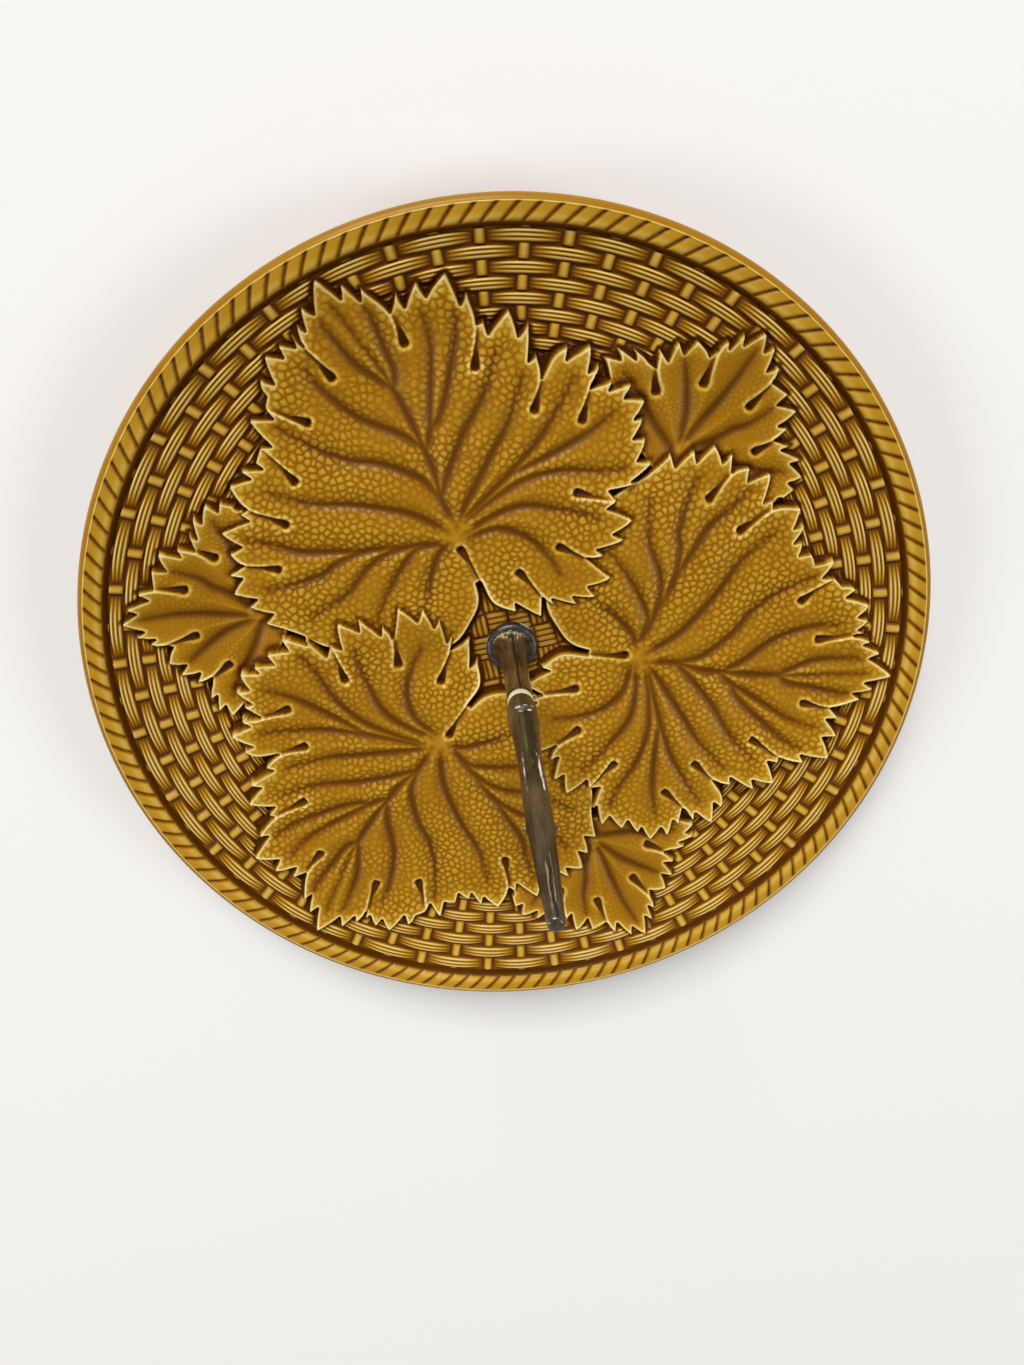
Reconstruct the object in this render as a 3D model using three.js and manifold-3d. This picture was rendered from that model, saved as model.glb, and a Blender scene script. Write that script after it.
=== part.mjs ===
// Cheese platter: a round glazed earthenware dish with vine leaves in relief on a basket-weave ground, inside
// a rope rim. A bronze vine-cane handle stands in the middle, clamped through the dish by a stud and a nut.
// Millimetres, +Z up. The origin is the centre of the foot ring's underside.

import * as THREE from 'three';
import { ConvexGeometry } from 'three/addons/geometries/ConvexGeometry.js';
import { mergeVertices } from 'three/addons/utils/BufferGeometryUtils.js';
import Module from 'manifold-3d';

const wasm = await Module();
wasm.setup();

// Dish
const PLATE_RADIUS = 150;
const ROPE_WIDTH = 9;
const ROPE_HEIGHT = 9;
const ROPE_STAND = 3.2;
const ROPE_FROM = -60;
const ROPE_TO = 150;
const DISH_DEPTH = 15.5;
const FLOOR_RADIUS = 85;
const FLOOR_THICKNESS = 6;
const WALL_THICKNESS = 6.5;
const FOOT_HEIGHT = 8.5;
const FOOT_RADIUS = 94;
const FOOT_WIDTH = 5;
const FOOT_DRAFT = 3;
const HOLE_CLEARANCE = 1;
const SEAT_RADIUS = 10;

// Basket weave, sunk round the seat: rows of strokes, each stroke over every second stake of the basket.
// The first stake and a stroke's reach are angles in degrees.
const WEAVE_DEPTH = 1.5;
const WEAVE_ROOT = 0.6;
const WEAVE_ROWS = 8;
const WEAVE_PITCH = 4.6;
const WEAVE_MARGIN = 2.8;
const STAKES_PER_LEAF = 21;
const FIRST_STAKE = 7.1;
const STROKE_REACH = 4.6;
const STROKE_WIDTH = 4.2;
const STROKE_CREST = 0.55;

// Leaves, drawn for a dish whose leaf tips lie at DRAWN_REACH from the centre
const DRAWN_REACH = 139.5;
const LEAF_TIP_GAP = 1.5;
const LEAF_COUNT = 3;
const LARGE_LEAF_TURN = 117.3;
const SMALL_LEAF_LAG = 62.2;
const LARGE_LEAF_LIFT = 1.8;
const LARGE_LEAF_CROWN = 3.4;
const SMALL_LEAF_LIFT = 1.3;
const SMALL_LEAF_CROWN = 0.7;
const CROWN_RADIUS = 75;
const CROWN_REACH = 60;
const LEAF_TILT = 1;
const LEAF_ROOT = 2.5;
const TOOTH_DEPTH = 3.2;
const TOOTH_LEAN = 0.25;
const SLIT_WIDTH = 2;
const VEIN_WIDTH = 2.4;
const VEIN_DEPTH = 0.8;

// Handle and its fastening
const STUD_RADIUS = 3;
const STUD_CHAMFER = 0.5;
const STUD_CLEARANCE = 0.3;
const GASKET_THICKNESS = 1;
const GASKET_RADIUS = 8.6;
const COLLAR_RADIUS = 9.4;
const COLLAR_THICKNESS = 3;
const COLLAR_EDGE = 1.2;
const FERRULE_HEIGHT = 43.5;
const FERRULE_FOOT_RADIUS = 7.2;
const FERRULE_NECK_RADIUS = 4.3;
const FERRULE_FLARE = 5;
const BEAD_RADIUS = 4.6;
const BEAD_EDGE_RADIUS = 4.1;
const BEAD_HEIGHT = 4.2;
const GRIP_LENGTH = 113.5;
const GRIP_FOOT_RADIUS = 4.2;
const GRIP_SHOULDER_RADIUS = 4.8;
const GRIP_WAIST_RADIUS = 3.6;
const GRIP_JOINT_RADIUS = 3.7;
const GRIP_TIP_RADIUS = 2.2;
const GRIP_SHOULDER_AT = 9;
const GRIP_WAIST_AT = 37.5;
const GRIP_JOINT_AT = 74.5;
const GRIP_EDGE = 0.7;
const BUD_RADIUS = 0.9;
const BUD_STRETCH = 2;
const FLAT_FROM = 11;
const FLAT_DEPTH = 1.1;
const FLAT_WAIST_DEPTH = 0.9;
const FLAT_END_GAP = 6;
const THREAD_LENGTH = 8.5;
const THREAD_END_ROOM = 1;
const WASHER_RADIUS = 11;
const WASHER_THICKNESS = 1.5;
const NUT_ACROSS_FLATS = 10;
const NUT_THICKNESS = 3.6;
const STUD_TAIL = 0.8;

// Facets
const DISH_SEGMENTS = 60;
const LEAF_SEGMENTS = 24;
const HANDLE_SEGMENTS = 24;
const BUD_SEGMENTS = 8;
const WALL_STEPS = 3;
const ROPE_STEPS = 7;
const GROUND_STEPS = 3;
const LEAF_STEPS = 6;
const VEIN_STEPS = 4;
const FERRULE_STEPS = 8;
const FERRULE_CROWDING = 1.6;
const BEAD_STEPS = 6;
const CANE_STEPS = 12;
const WELD_DISTANCE = 1e-3;

// Heights and radii that follow
const UNDERSIDE = FOOT_HEIGHT;
const FLOOR_TOP = UNDERSIDE + FLOOR_THICKNESS;
const RIM_TOP = FLOOR_TOP + DISH_DEPTH;
const WELL_RADIUS = PLATE_RADIUS - ROPE_WIDTH;
const HOLE_RADIUS = STUD_RADIUS + HOLE_CLEARANCE;
const BORE_RADIUS = STUD_RADIUS + STUD_CLEARANCE;
const LEAF_SCALE = (WELL_RADIUS - LEAF_TIP_GAP) / DRAWN_REACH;
const COLLAR_BOTTOM = FLOOR_TOP + GASKET_THICKNESS;
const FERRULE_BOTTOM = COLLAR_BOTTOM + COLLAR_THICKNESS;
const BEAD_BOTTOM = FERRULE_BOTTOM + FERRULE_HEIGHT;
const GRIP_BOTTOM = BEAD_BOTTOM + BEAD_HEIGHT;
const LOWER_GASKET_BOTTOM = UNDERSIDE - GASKET_THICKNESS;
const WASHER_BOTTOM = LOWER_GASKET_BOTTOM - WASHER_THICKNESS;
const NUT_BOTTOM = WASHER_BOTTOM - NUT_THICKNESS;
const STUD_BOTTOM = NUT_BOTTOM - STUD_TAIL;
const STUD_TOP = GRIP_BOTTOM + THREAD_LENGTH;

// A large leaf, tip along +Y from the dish's centre: its lobes in turn, from the stalk's notch round the
// right side to the tip and back down the left. A lobe leaves its slit by the rise, carries its teeth, and
// falls to the next slit.
const LARGE_LEAF = [
  { slit: [1.5, 42], rise: [[1.2, 28], [1, 20], [3.1, 15.6]], teeth: [[7.5, 11.3], [14.8, 5.6]], fall: [] },
  {
    slit: [16, 25.3],
    rise: [[18.3, 12.5]],
    teeth: [[21.3, 6.9], [28.8, 4.4], [35.6, 4.4], [43.5, 8.8]],
    fall: [],
  },
  {
    slit: [32.4, 28.1],
    rise: [[38.5, 19.5]],
    teeth: [[44.7, 17.3], [53.2, 19.7], [58.5, 25], [56.2, 33.5]],
    fall: [],
  },
  {
    slit: [44, 41.5],
    rise: [[55, 38]],
    teeth: [[66.4, 35.3], [72.4, 40.5], [73.3, 49], [75.2, 55.5], [77.8, 60.3], [76, 67.1], [71, 71]],
    fall: [],
  },
  { slit: [55.3, 64.5], rise: [[63, 72]], teeth: [[69, 76.9], [68.6, 84], [62, 87]], fall: [[55, 86]] },
  {
    slit: [42.5, 74.5],
    rise: [[50, 82]],
    teeth: [[51.7, 89.1], [53.3, 98.7], [49.4, 105.4], [41, 106]],
    fall: [],
  },
  {
    slit: [31, 95],
    rise: [[38.5, 106]],
    teeth: [[39.7, 115.6], [36.4, 123.8], [27.1, 125.4], [19.8, 125]],
    fall: [],
  },
  {
    slit: [14.1, 111],
    rise: [[15.8, 121]],
    teeth: [[11, 131.1], [6.2, 134.7], [0, DRAWN_REACH], [-8, 134.3], [-12, 130.4]],
    fall: [[-13.3, 124]],
  },
  {
    slit: [-9.2, 112],
    rise: [],
    teeth: [[-15, 128.6], [-20.2, 127.7], [-25.7, 126.8], [-31, 121.3]],
    fall: [[-31.8, 116]],
  },
  {
    slit: [-25.5, 102],
    rise: [],
    teeth: [[-34.4, 113.2], [-41, 111.8], [-42.6, 103], [-46.8, 99.2], [-52.6, 99.1], [-58.6, 96.2]],
    fall: [[-57.5, 87]],
  },
  { slit: [-47.8, 77.3], rise: [], teeth: [[-61, 86.5], [-69.7, 83.8], [-71.2, 76.3]], fall: [[-69, 70.5]] },
  {
    slit: [-58.6, 64.9],
    rise: [],
    teeth: [[-76, 69.7], [-77.8, 63.1], [-75.7, 56.6], [-74, 48.6]],
    fall: [[-64, 41], [-50, 29], [-33, 17], [-18, 10.6], [-7.5, 16.3], [-2.5, 21.3], [-0.5, 28]],
  },
];
const LARGE_LEAF_HEART = [1.9, 47.8];

// Large leaf veins: from, pull and end points of quadratic curves
const LARGE_LEAF_VEINS = [
  [LARGE_LEAF_HEART, [7, 90], [0.5, 128]],
  [[4.6, 78], [-13, 98], [-19, 119]],
  [[4.6, 82], [17, 96], [26, 117]],
  [[3.2, 63], [-22, 82], [-37, 105]],
  [[3.2, 60], [22, 84], [45, 98]],
  [LARGE_LEAF_HEART, [-25, 70], [-54, 92]],
  [LARGE_LEAF_HEART, [25, 64], [63, 78]],
  [[-14, 58], [-38, 62], [-65, 78]],
  [LARGE_LEAF_HEART, [-30, 50], [-71, 60]],
  [LARGE_LEAF_HEART, [30, 56], [71, 61]],
  [[4, 48.5], [32, 50], [53, 29]],
  [[3, 47.5], [24, 47], [35, 11]],
];

// A small leaf, tip along +Y. Its lower edge lies under the two large leaves beside it.
const SMALL_LEAF = [
  {
    slit: [11.3, 115.8],
    rise: [[12.6, 126]],
    teeth: [[10.9, 131], [5.1, 134.6], [-0.2, 135.9], [-5.1, 132], [-7.5, 127.5]],
    fall: [[-8.3, 123]],
  },
  {
    slit: [-3.3, 112.7],
    rise: [[-9, 120]],
    teeth: [[-15.3, 121.5], [-19.9, 117.7], [-23, 112.1]],
    fall: [[-20.5, 107]],
  },
  {
    slit: [-14.4, 101.9],
    rise: [[-23.5, 107]],
    teeth: [[-29.7, 107.3], [-34.4, 104.3], [-36, 99.4]],
    fall: [[-22, 90], [4.5, 80], [36, 92]],
  },
  {
    slit: [43.5, 98],
    rise: [],
    teeth: [[44.5, 104.3], [43.4, 108.9], [39.1, 112.9], [32.9, 114.4]],
    fall: [],
  },
  {
    slit: [23.4, 106.3],
    rise: [[26.8, 112.5]],
    teeth: [[27.7, 118.3], [25.8, 124], [19.6, 126.3]],
    fall: [],
  },
];
const SMALL_LEAF_HEART = [4.5, 92];
const SMALL_LEAF_VEINS = [
  [SMALL_LEAF_HEART, [5.5, 110], [1, 128]],
  [SMALL_LEAF_HEART, [-3, 104], [-15, 115]],
  [SMALL_LEAF_HEART, [12, 106], [20, 119]],
];

// Solids

function solidOf(geometry) {
  geometry.deleteAttribute('normal');
  geometry.deleteAttribute('uv');
  const merged = mergeVertices(geometry, WELD_DISTANCE);
  const vertProperties = new Float32Array(merged.attributes.position.array);
  const triVerts = new Uint32Array(merged.index.array);
  return new wasm.Manifold(new wasm.Mesh({ numProp: 3, vertProperties, triVerts }));
}

function geometryOf(solid) {
  const mesh = solid.getMesh();
  const geometry = new THREE.BufferGeometry();
  geometry.setAttribute('position', new THREE.BufferAttribute(new Float32Array(mesh.vertProperties), 3));
  geometry.setIndex(new THREE.BufferAttribute(new Uint32Array(mesh.triVerts), 1));
  geometry.computeVertexNormals();
  return geometry;
}

// Turns a profile of [radius, height] pairs about the Z axis
function revolve(profile, segments) {
  const points = profile.map(([radius, height]) => new THREE.Vector2(radius, height));
  return new THREE.LatheGeometry(points, segments).rotateX(Math.PI / 2);
}

// A washer or ring: the profile is closed on itself
function ring(profile, segments) {
  return revolve([...profile, profile[0]], segments);
}

// A plan outline drawn up from the foot's level to the rim's
function prism(outline) {
  const shape = new THREE.Shape(outline.map(([x, y]) => new THREE.Vector2(x, y)));
  return new THREE.ExtrudeGeometry(shape, { depth: RIM_TOP, bevelEnabled: false });
}

function spaced(from, to, steps) {
  return Array.from({ length: steps + 1 }, (_, i) => from + ((to - from) * i) / steps);
}

// Dish

function groundHeight(radius) {
  const climb = Math.max(0, radius - FLOOR_RADIUS) / (WELL_RADIUS - FLOOR_RADIUS);
  return FLOOR_TOP + (DISH_DEPTH - ROPE_STAND) * climb ** 2;
}

function dishProfile() {
  const footInner = FOOT_RADIUS - FOOT_WIDTH;
  const wallFoot = FOOT_RADIUS + FOOT_DRAFT;
  const ropeMiddle = PLATE_RADIUS - ROPE_WIDTH / 2;
  const ropeCentre = RIM_TOP - ROPE_HEIGHT / 2;
  const profile = [
    [HOLE_RADIUS, UNDERSIDE],
    [footInner - FOOT_DRAFT, UNDERSIDE],
    [footInner, 0],
    [FOOT_RADIUS, 0],
  ];
  for (const radius of spaced(wallFoot, WELL_RADIUS, WALL_STEPS)) {
    profile.push([radius, groundHeight(radius) - WALL_THICKNESS]);
  }
  for (const degrees of spaced(ROPE_FROM, ROPE_TO, ROPE_STEPS)) {
    const angle = THREE.MathUtils.degToRad(degrees);
    profile.push([
      ropeMiddle + (ROPE_WIDTH / 2) * Math.cos(angle),
      ropeCentre + (ROPE_HEIGHT / 2) * Math.sin(angle),
    ]);
  }
  for (const radius of spaced(WELL_RADIUS, FLOOR_RADIUS, GROUND_STEPS)) {
    profile.push([radius, groundHeight(radius) - WEAVE_DEPTH]);
  }
  profile.push([SEAT_RADIUS, FLOOR_TOP - WEAVE_DEPTH], [SEAT_RADIUS, FLOOR_TOP], [HOLE_RADIUS, FLOOR_TOP]);
  return profile;
}

// Basket weave

function polar(radius, degrees, height) {
  const angle = THREE.MathUtils.degToRad(degrees);
  return new THREE.Vector3(radius * Math.cos(angle), radius * Math.sin(angle), height);
}

// A stroke across the +X axis: a bar with a ridge along it, hipped at both ends, with its foot in the clay
function strokeSolid(radius) {
  const ends = [-STROKE_REACH, STROKE_REACH];
  const foot = [-STROKE_WIDTH / 2, STROKE_WIDTH / 2].flatMap((aside) => {
    const height = groundHeight(radius + aside) - WEAVE_DEPTH - WEAVE_ROOT;
    return ends.map((end) => polar(radius + aside, end, height));
  });
  const crest = ends.map((end) => polar(radius, end * STROKE_CREST, groundHeight(radius)));
  return solidOf(new ConvexGeometry([...foot, ...crest]));
}

// Every stroke that stands clear of the leaves. The next row's strokes lie one stake further round.
function strokes(leaves) {
  const stakeStep = 360 / LEAF_COUNT / STAKES_PER_LEAF;
  const standing = [];
  for (let row = 0; row < WEAVE_ROWS; row += 1) {
    const stroke = strokeSolid(WELL_RADIUS - WEAVE_MARGIN - row * WEAVE_PITCH);
    for (let stake = 0; stake < LEAF_COUNT * STAKES_PER_LEAF; stake += 1) {
      const onStroke = ((stake % STAKES_PER_LEAF) + row) % 2 === 1;
      const laid = stroke.rotate([0, 0, LARGE_LEAF_TURN + FIRST_STAKE + stake * stakeStep]);
      if (onStroke && laid.intersect(leaves).isEmpty()) standing.push(laid);
    }
  }
  return standing;
}

// Leaves

function scaled([x, y]) {
  return [x * LEAF_SCALE, y * LEAF_SCALE];
}

function toward([x, y], [toX, toY], distance) {
  const length = Math.hypot(toX - x, toY - y);
  return [x + ((toX - x) * distance) / length, y + ((toY - y) * distance) / length];
}

function middle([ax, ay], [bx, by]) {
  return [(ax + bx) / 2, (ay + by) / 2];
}

// A notch between two teeth, cut towards the leaf's heart. The teeth lean towards the leaf's tip, so the notch
// lies nearer the tooth that is further from it.
function notch([ax, ay], [bx, by], heart) {
  const share = ax + bx > 0 ? TOOTH_LEAN : 1 - TOOTH_LEAN;
  return toward([ax + (bx - ax) * share, ay + (by - ay) * share], heart, TOOTH_DEPTH);
}

function toothedEdge(teeth, heart) {
  const edge = [];
  teeth.forEach((tooth, i) => {
    if (i > 0) edge.push(notch(teeth[i - 1], tooth, heart));
    edge.push(tooth);
  });
  return edge;
}

// A slit's blunt end: two corners square to the way it runs in from its mouth
function slitEnd(before, slit, after) {
  const mouth = middle(before, after);
  const [inX, inY] = toward([0, 0], [slit[0] - mouth[0], slit[1] - mouth[1]], SLIT_WIDTH / 2);
  const left = [slit[0] + inY, slit[1] - inX];
  const right = [slit[0] - inY, slit[1] + inX];
  const nearer = (p) => Math.hypot(p[0] - before[0], p[1] - before[1]);
  return nearer(left) < nearer(right) ? [left, right] : [right, left];
}

function leafOutline(lobes, heart) {
  const edges = lobes.map(({ rise, teeth, fall }) => [...rise, ...toothedEdge(teeth, heart), ...fall]);
  return edges.flatMap((edge, i) => {
    const before = edges.at(i - 1).at(-1);
    return [...slitEnd(before, lobes[i].slit, edge[0]), ...edge];
  });
}

// A vein's channel in plan: a sliver that narrows to its far end
function veinOutline([from, pull, end]) {
  const curve = new THREE.QuadraticBezierCurve(...[from, pull, end].map(([x, y]) => new THREE.Vector2(x, y)));
  const sides = [[], []];
  for (let i = 0; i < VEIN_STEPS; i += 1) {
    const share = i / VEIN_STEPS;
    const { x, y } = curve.getPoint(share);
    const along = curve.getTangent(share);
    const half = (VEIN_WIDTH / 2) * (1 - share);
    sides[0].push([x + along.y * half, y - along.x * half]);
    sides[1].unshift([x - along.y * half, y + along.x * half]);
  }
  return [...sides[0], end, ...sides[1]];
}

// The layer of clay that a leaf is cut from: it follows the dish's ground, and swells over the crown
function leafLayer(lift, crown, sink) {
  const radii = spaced(0, WELL_RADIUS, LEAF_STEPS);
  const bottom = radii.map((radius) => [radius, groundHeight(radius) - LEAF_ROOT]);
  const top = radii.map((radius) => {
    const swell = Math.max(0, 1 - ((radius - CROWN_RADIUS) / CROWN_REACH) ** 2);
    return [radius, groundHeight(radius) + lift + crown * swell - sink];
  });
  return solidOf(revolve([...bottom, ...top.reverse()], LEAF_SEGMENTS));
}

function leaf(lobes, heart, veins, lift, crown, tilt) {
  const blade = solidOf(prism(leafOutline(lobes, heart).map(scaled)));
  const channels = veins.map((vein) => solidOf(prism(veinOutline(vein).map(scaled))));
  const veinFloor = leafLayer(lift, crown, VEIN_DEPTH);
  const veined = channels.reduce(
    (layer, channel) => layer.subtract(channel.subtract(veinFloor)),
    leafLayer(lift, crown, 0),
  );
  return veined.rotate([0, tilt, 0]).intersect(blade);
}

function plateSolid() {
  const large = leaf(
    LARGE_LEAF, LARGE_LEAF_HEART, LARGE_LEAF_VEINS, LARGE_LEAF_LIFT, LARGE_LEAF_CROWN, -LEAF_TILT,
  );
  const small = leaf(
    SMALL_LEAF, SMALL_LEAF_HEART, SMALL_LEAF_VEINS, SMALL_LEAF_LIFT, SMALL_LEAF_CROWN, 0,
  );
  const turns = Array.from({ length: LEAF_COUNT }, (_, i) => LARGE_LEAF_TURN - 90 + (360 * i) / LEAF_COUNT);
  const leaves = wasm.Manifold.union(
    turns.flatMap((turn) => [large.rotate([0, 0, turn]), small.rotate([0, 0, turn - SMALL_LEAF_LAG])]),
  );
  const dish = solidOf(ring(dishProfile(), DISH_SEGMENTS));
  return wasm.Manifold.union([dish, leaves, ...strokes(leaves)]);
}

// Handle and its fastening

function washerProfile(inner, outer, bottom, thickness) {
  return [[inner, bottom], [outer, bottom], [outer, bottom + thickness], [inner, bottom + thickness]];
}

function collarProfile() {
  const top = COLLAR_BOTTOM + COLLAR_THICKNESS;
  return [
    [BORE_RADIUS, COLLAR_BOTTOM],
    [COLLAR_RADIUS, COLLAR_BOTTOM],
    [COLLAR_RADIUS, top - COLLAR_EDGE],
    [COLLAR_RADIUS - COLLAR_EDGE, top],
    [BORE_RADIUS, top],
  ];
}

// A trumpet: the flare dies away upwards
function ferruleProfile() {
  const outside = spaced(0, 1, FERRULE_STEPS).map((share) => {
    const height = FERRULE_HEIGHT * share ** FERRULE_CROWDING;
    const flare = (FERRULE_FOOT_RADIUS - FERRULE_NECK_RADIUS) * Math.exp(-height / FERRULE_FLARE);
    return [FERRULE_NECK_RADIUS + flare, FERRULE_BOTTOM + height];
  });
  return [[BORE_RADIUS, FERRULE_BOTTOM], ...outside, [BORE_RADIUS, BEAD_BOTTOM]];
}

function beadProfile() {
  const bulge = spaced(0, 1, BEAD_STEPS).map((share) => {
    const swell = (BEAD_RADIUS - BEAD_EDGE_RADIUS) * Math.sin(Math.PI * share);
    return [BEAD_EDGE_RADIUS + swell, BEAD_BOTTOM + BEAD_HEIGHT * share];
  });
  return [[BORE_RADIUS, BEAD_BOTTOM], ...bulge, [BORE_RADIUS, GRIP_BOTTOM]];
}

function gripProfile() {
  const cane = new THREE.SplineCurve([
    new THREE.Vector2(GRIP_FOOT_RADIUS, 0),
    new THREE.Vector2(GRIP_SHOULDER_RADIUS, GRIP_SHOULDER_AT),
    new THREE.Vector2(GRIP_WAIST_RADIUS, GRIP_WAIST_AT),
    new THREE.Vector2(GRIP_JOINT_RADIUS, GRIP_JOINT_AT),
    new THREE.Vector2(GRIP_TIP_RADIUS, GRIP_LENGTH - GRIP_EDGE),
  ]);
  const socket = THREAD_LENGTH + THREAD_END_ROOM;
  return [
    [0, socket],
    [BORE_RADIUS, socket],
    [BORE_RADIUS, 0],
    ...cane.getPoints(CANE_STEPS).map(({ x, y }) => [x, y]),
    [GRIP_TIP_RADIUS - GRIP_EDGE, GRIP_LENGTH],
    [0, GRIP_LENGTH],
  ].map(([radius, height]) => [radius, GRIP_BOTTOM + height]);
}

// What is pared off the cane's front: a flat that is deepest at the waist and runs out below the joint
function paredSolid() {
  const reach = 2 * GRIP_SHOULDER_RADIUS;
  const end = GRIP_JOINT_AT - FLAT_END_GAP;
  const side = new THREE.Shape([
    new THREE.Vector2(GRIP_SHOULDER_RADIUS - FLAT_DEPTH, FLAT_FROM),
    new THREE.Vector2(reach, FLAT_FROM),
    new THREE.Vector2(reach, end),
    new THREE.Vector2(GRIP_JOINT_RADIUS, end),
    new THREE.Vector2(GRIP_WAIST_RADIUS - FLAT_WAIST_DEPTH, GRIP_WAIST_AT),
  ]);
  const pared = new THREE.ExtrudeGeometry(side, { depth: reach, bevelEnabled: false })
    .rotateX(Math.PI / 2)
    .rotateZ(Math.PI / 2)
    .translate(-reach / 2, 0, GRIP_BOTTOM);
  return solidOf(pared);
}

// The cane, pared flat in front, with a bud on each side of its joint
function gripSolid() {
  const cane = solidOf(revolve(gripProfile(), HANDLE_SEGMENTS)).subtract(paredSolid());
  return [-1, 1].reduce((solid, side) => {
    const bud = new THREE.SphereGeometry(BUD_RADIUS, BUD_SEGMENTS, BUD_SEGMENTS)
      .scale(1, 1, BUD_STRETCH)
      .translate(side * GRIP_JOINT_RADIUS, 0, GRIP_BOTTOM + GRIP_JOINT_AT);
    return solid.add(solidOf(bud));
  }, cane);
}

function nutSolid() {
  const corner = NUT_ACROSS_FLATS / Math.sqrt(3);
  const hexagon = new THREE.CylinderGeometry(corner, corner, NUT_THICKNESS, 6)
    .rotateX(Math.PI / 2)
    .translate(0, 0, NUT_BOTTOM + NUT_THICKNESS / 2);
  const bore = new THREE.CylinderGeometry(BORE_RADIUS, BORE_RADIUS, 2 * NUT_THICKNESS, HANDLE_SEGMENTS)
    .rotateX(Math.PI / 2)
    .translate(0, 0, NUT_BOTTOM + NUT_THICKNESS / 2);
  return solidOf(hexagon).subtract(solidOf(bore));
}

function studProfile() {
  return [
    [0, STUD_BOTTOM],
    [STUD_RADIUS - STUD_CHAMFER, STUD_BOTTOM],
    [STUD_RADIUS, STUD_BOTTOM + STUD_CHAMFER],
    [STUD_RADIUS, STUD_TOP - STUD_CHAMFER],
    [STUD_RADIUS - STUD_CHAMFER, STUD_TOP],
    [0, STUD_TOP],
  ];
}

// Materials and assembly

const amberGlaze = new THREE.MeshStandardMaterial({ color: 0xa8701a, roughness: 0.15, metalness: 0 });
const darkBronze = new THREE.MeshStandardMaterial({ color: 0x4a3a28, roughness: 0.3, metalness: 1 });
const dullBronze = new THREE.MeshStandardMaterial({ color: 0x5e5148, roughness: 0.5, metalness: 1 });
const goldenBronze = new THREE.MeshStandardMaterial({ color: 0x8a6a34, roughness: 0.25, metalness: 1 });
const brightBrass = new THREE.MeshStandardMaterial({ color: 0xe0c878, roughness: 0.15, metalness: 1 });
const plainSteel = new THREE.MeshStandardMaterial({ color: 0xa0a0a0, roughness: 0.35, metalness: 1 });
const blackRubber = new THREE.MeshStandardMaterial({ color: 0x2a2622, roughness: 0.9, metalness: 0 });

const platter = new THREE.Group();

function addPiece(name, geometry, material) {
  const mesh = new THREE.Mesh(geometry, material);
  mesh.name = name;
  platter.add(mesh);
}

function handleRing(profile) {
  return ring(profile, HANDLE_SEGMENTS);
}

addPiece('plate', geometryOf(plateSolid()), amberGlaze);
addPiece(
  'upper_gasket',
  handleRing(washerProfile(BORE_RADIUS, GASKET_RADIUS, FLOOR_TOP, GASKET_THICKNESS)),
  blackRubber,
);
addPiece('collar', handleRing(collarProfile()), dullBronze);
addPiece('ferrule', handleRing(ferruleProfile()), goldenBronze);
addPiece('bead_ring', handleRing(beadProfile()), brightBrass);
addPiece('grip', geometryOf(gripSolid()), darkBronze);
addPiece('stud', revolve(studProfile(), HANDLE_SEGMENTS), plainSteel);
addPiece(
  'lower_gasket',
  handleRing(washerProfile(BORE_RADIUS, GASKET_RADIUS, LOWER_GASKET_BOTTOM, GASKET_THICKNESS)),
  blackRubber,
);
addPiece(
  'backing_washer',
  handleRing(washerProfile(BORE_RADIUS, WASHER_RADIUS, WASHER_BOTTOM, WASHER_THICKNESS)),
  plainSteel,
);
addPiece('clamp_nut', geometryOf(nutSolid()), plainSteel);

export default platter;
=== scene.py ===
"""Cheese platter: a glazed earthenware dish with vine leaves in relief, and a bronze cane handle.

Lengths are in millimetres while a shape is worked out, and in metres once it is in a mesh.
"""

import logging
from dataclasses import dataclass, field
from enum import Enum

import bpy
import numpy as np
from mathutils import Matrix, Vector


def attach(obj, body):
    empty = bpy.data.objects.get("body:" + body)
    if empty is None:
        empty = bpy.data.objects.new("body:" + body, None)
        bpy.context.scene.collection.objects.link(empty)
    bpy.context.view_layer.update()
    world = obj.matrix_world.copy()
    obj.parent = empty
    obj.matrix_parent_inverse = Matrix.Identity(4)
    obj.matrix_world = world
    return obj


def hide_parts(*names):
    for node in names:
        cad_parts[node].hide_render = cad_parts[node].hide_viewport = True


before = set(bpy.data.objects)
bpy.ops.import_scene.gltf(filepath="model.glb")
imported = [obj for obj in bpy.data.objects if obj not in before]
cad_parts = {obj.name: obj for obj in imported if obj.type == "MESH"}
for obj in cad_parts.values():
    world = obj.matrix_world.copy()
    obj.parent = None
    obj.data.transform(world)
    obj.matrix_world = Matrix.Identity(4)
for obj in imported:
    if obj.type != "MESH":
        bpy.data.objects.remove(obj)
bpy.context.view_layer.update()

Array = np.ndarray
Point = tuple[float, float]
Color = tuple[float, float, float]
Place = tuple[float, float, float]
Piece = bpy.types.Object
Material = bpy.types.Material
Tree = bpy.types.NodeTree
Socket = bpy.types.NodeSocket
Shader = bpy.types.ShaderNode
LOG = logging.getLogger("platter")
MM = 0.001
FULL_TURN = 2 * np.pi


class Body(Enum):
    """The rigid bodies that pieces ride on."""

    PLATTER = "platter"
    BEAD = "bead"
    GRIP = "grip"


class Fold(Enum):
    """Which flank of a slit lies on top: the next lobe's, the last lobe's, or neither on an open slit."""

    NEXT = 1
    LAST = 2
    OPEN = 3


class Slot(Enum):
    """The record's material slots, listed beside the new pieces; nothing here assigns a piece to them."""

    GLAZE = "glaze"
    COLLAR = "collar_bronze"
    FERRULE = "ferrule_bronze"
    BEAD = "bead_brass"
    CANE = "cane_bronze"


# Arrays

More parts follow.
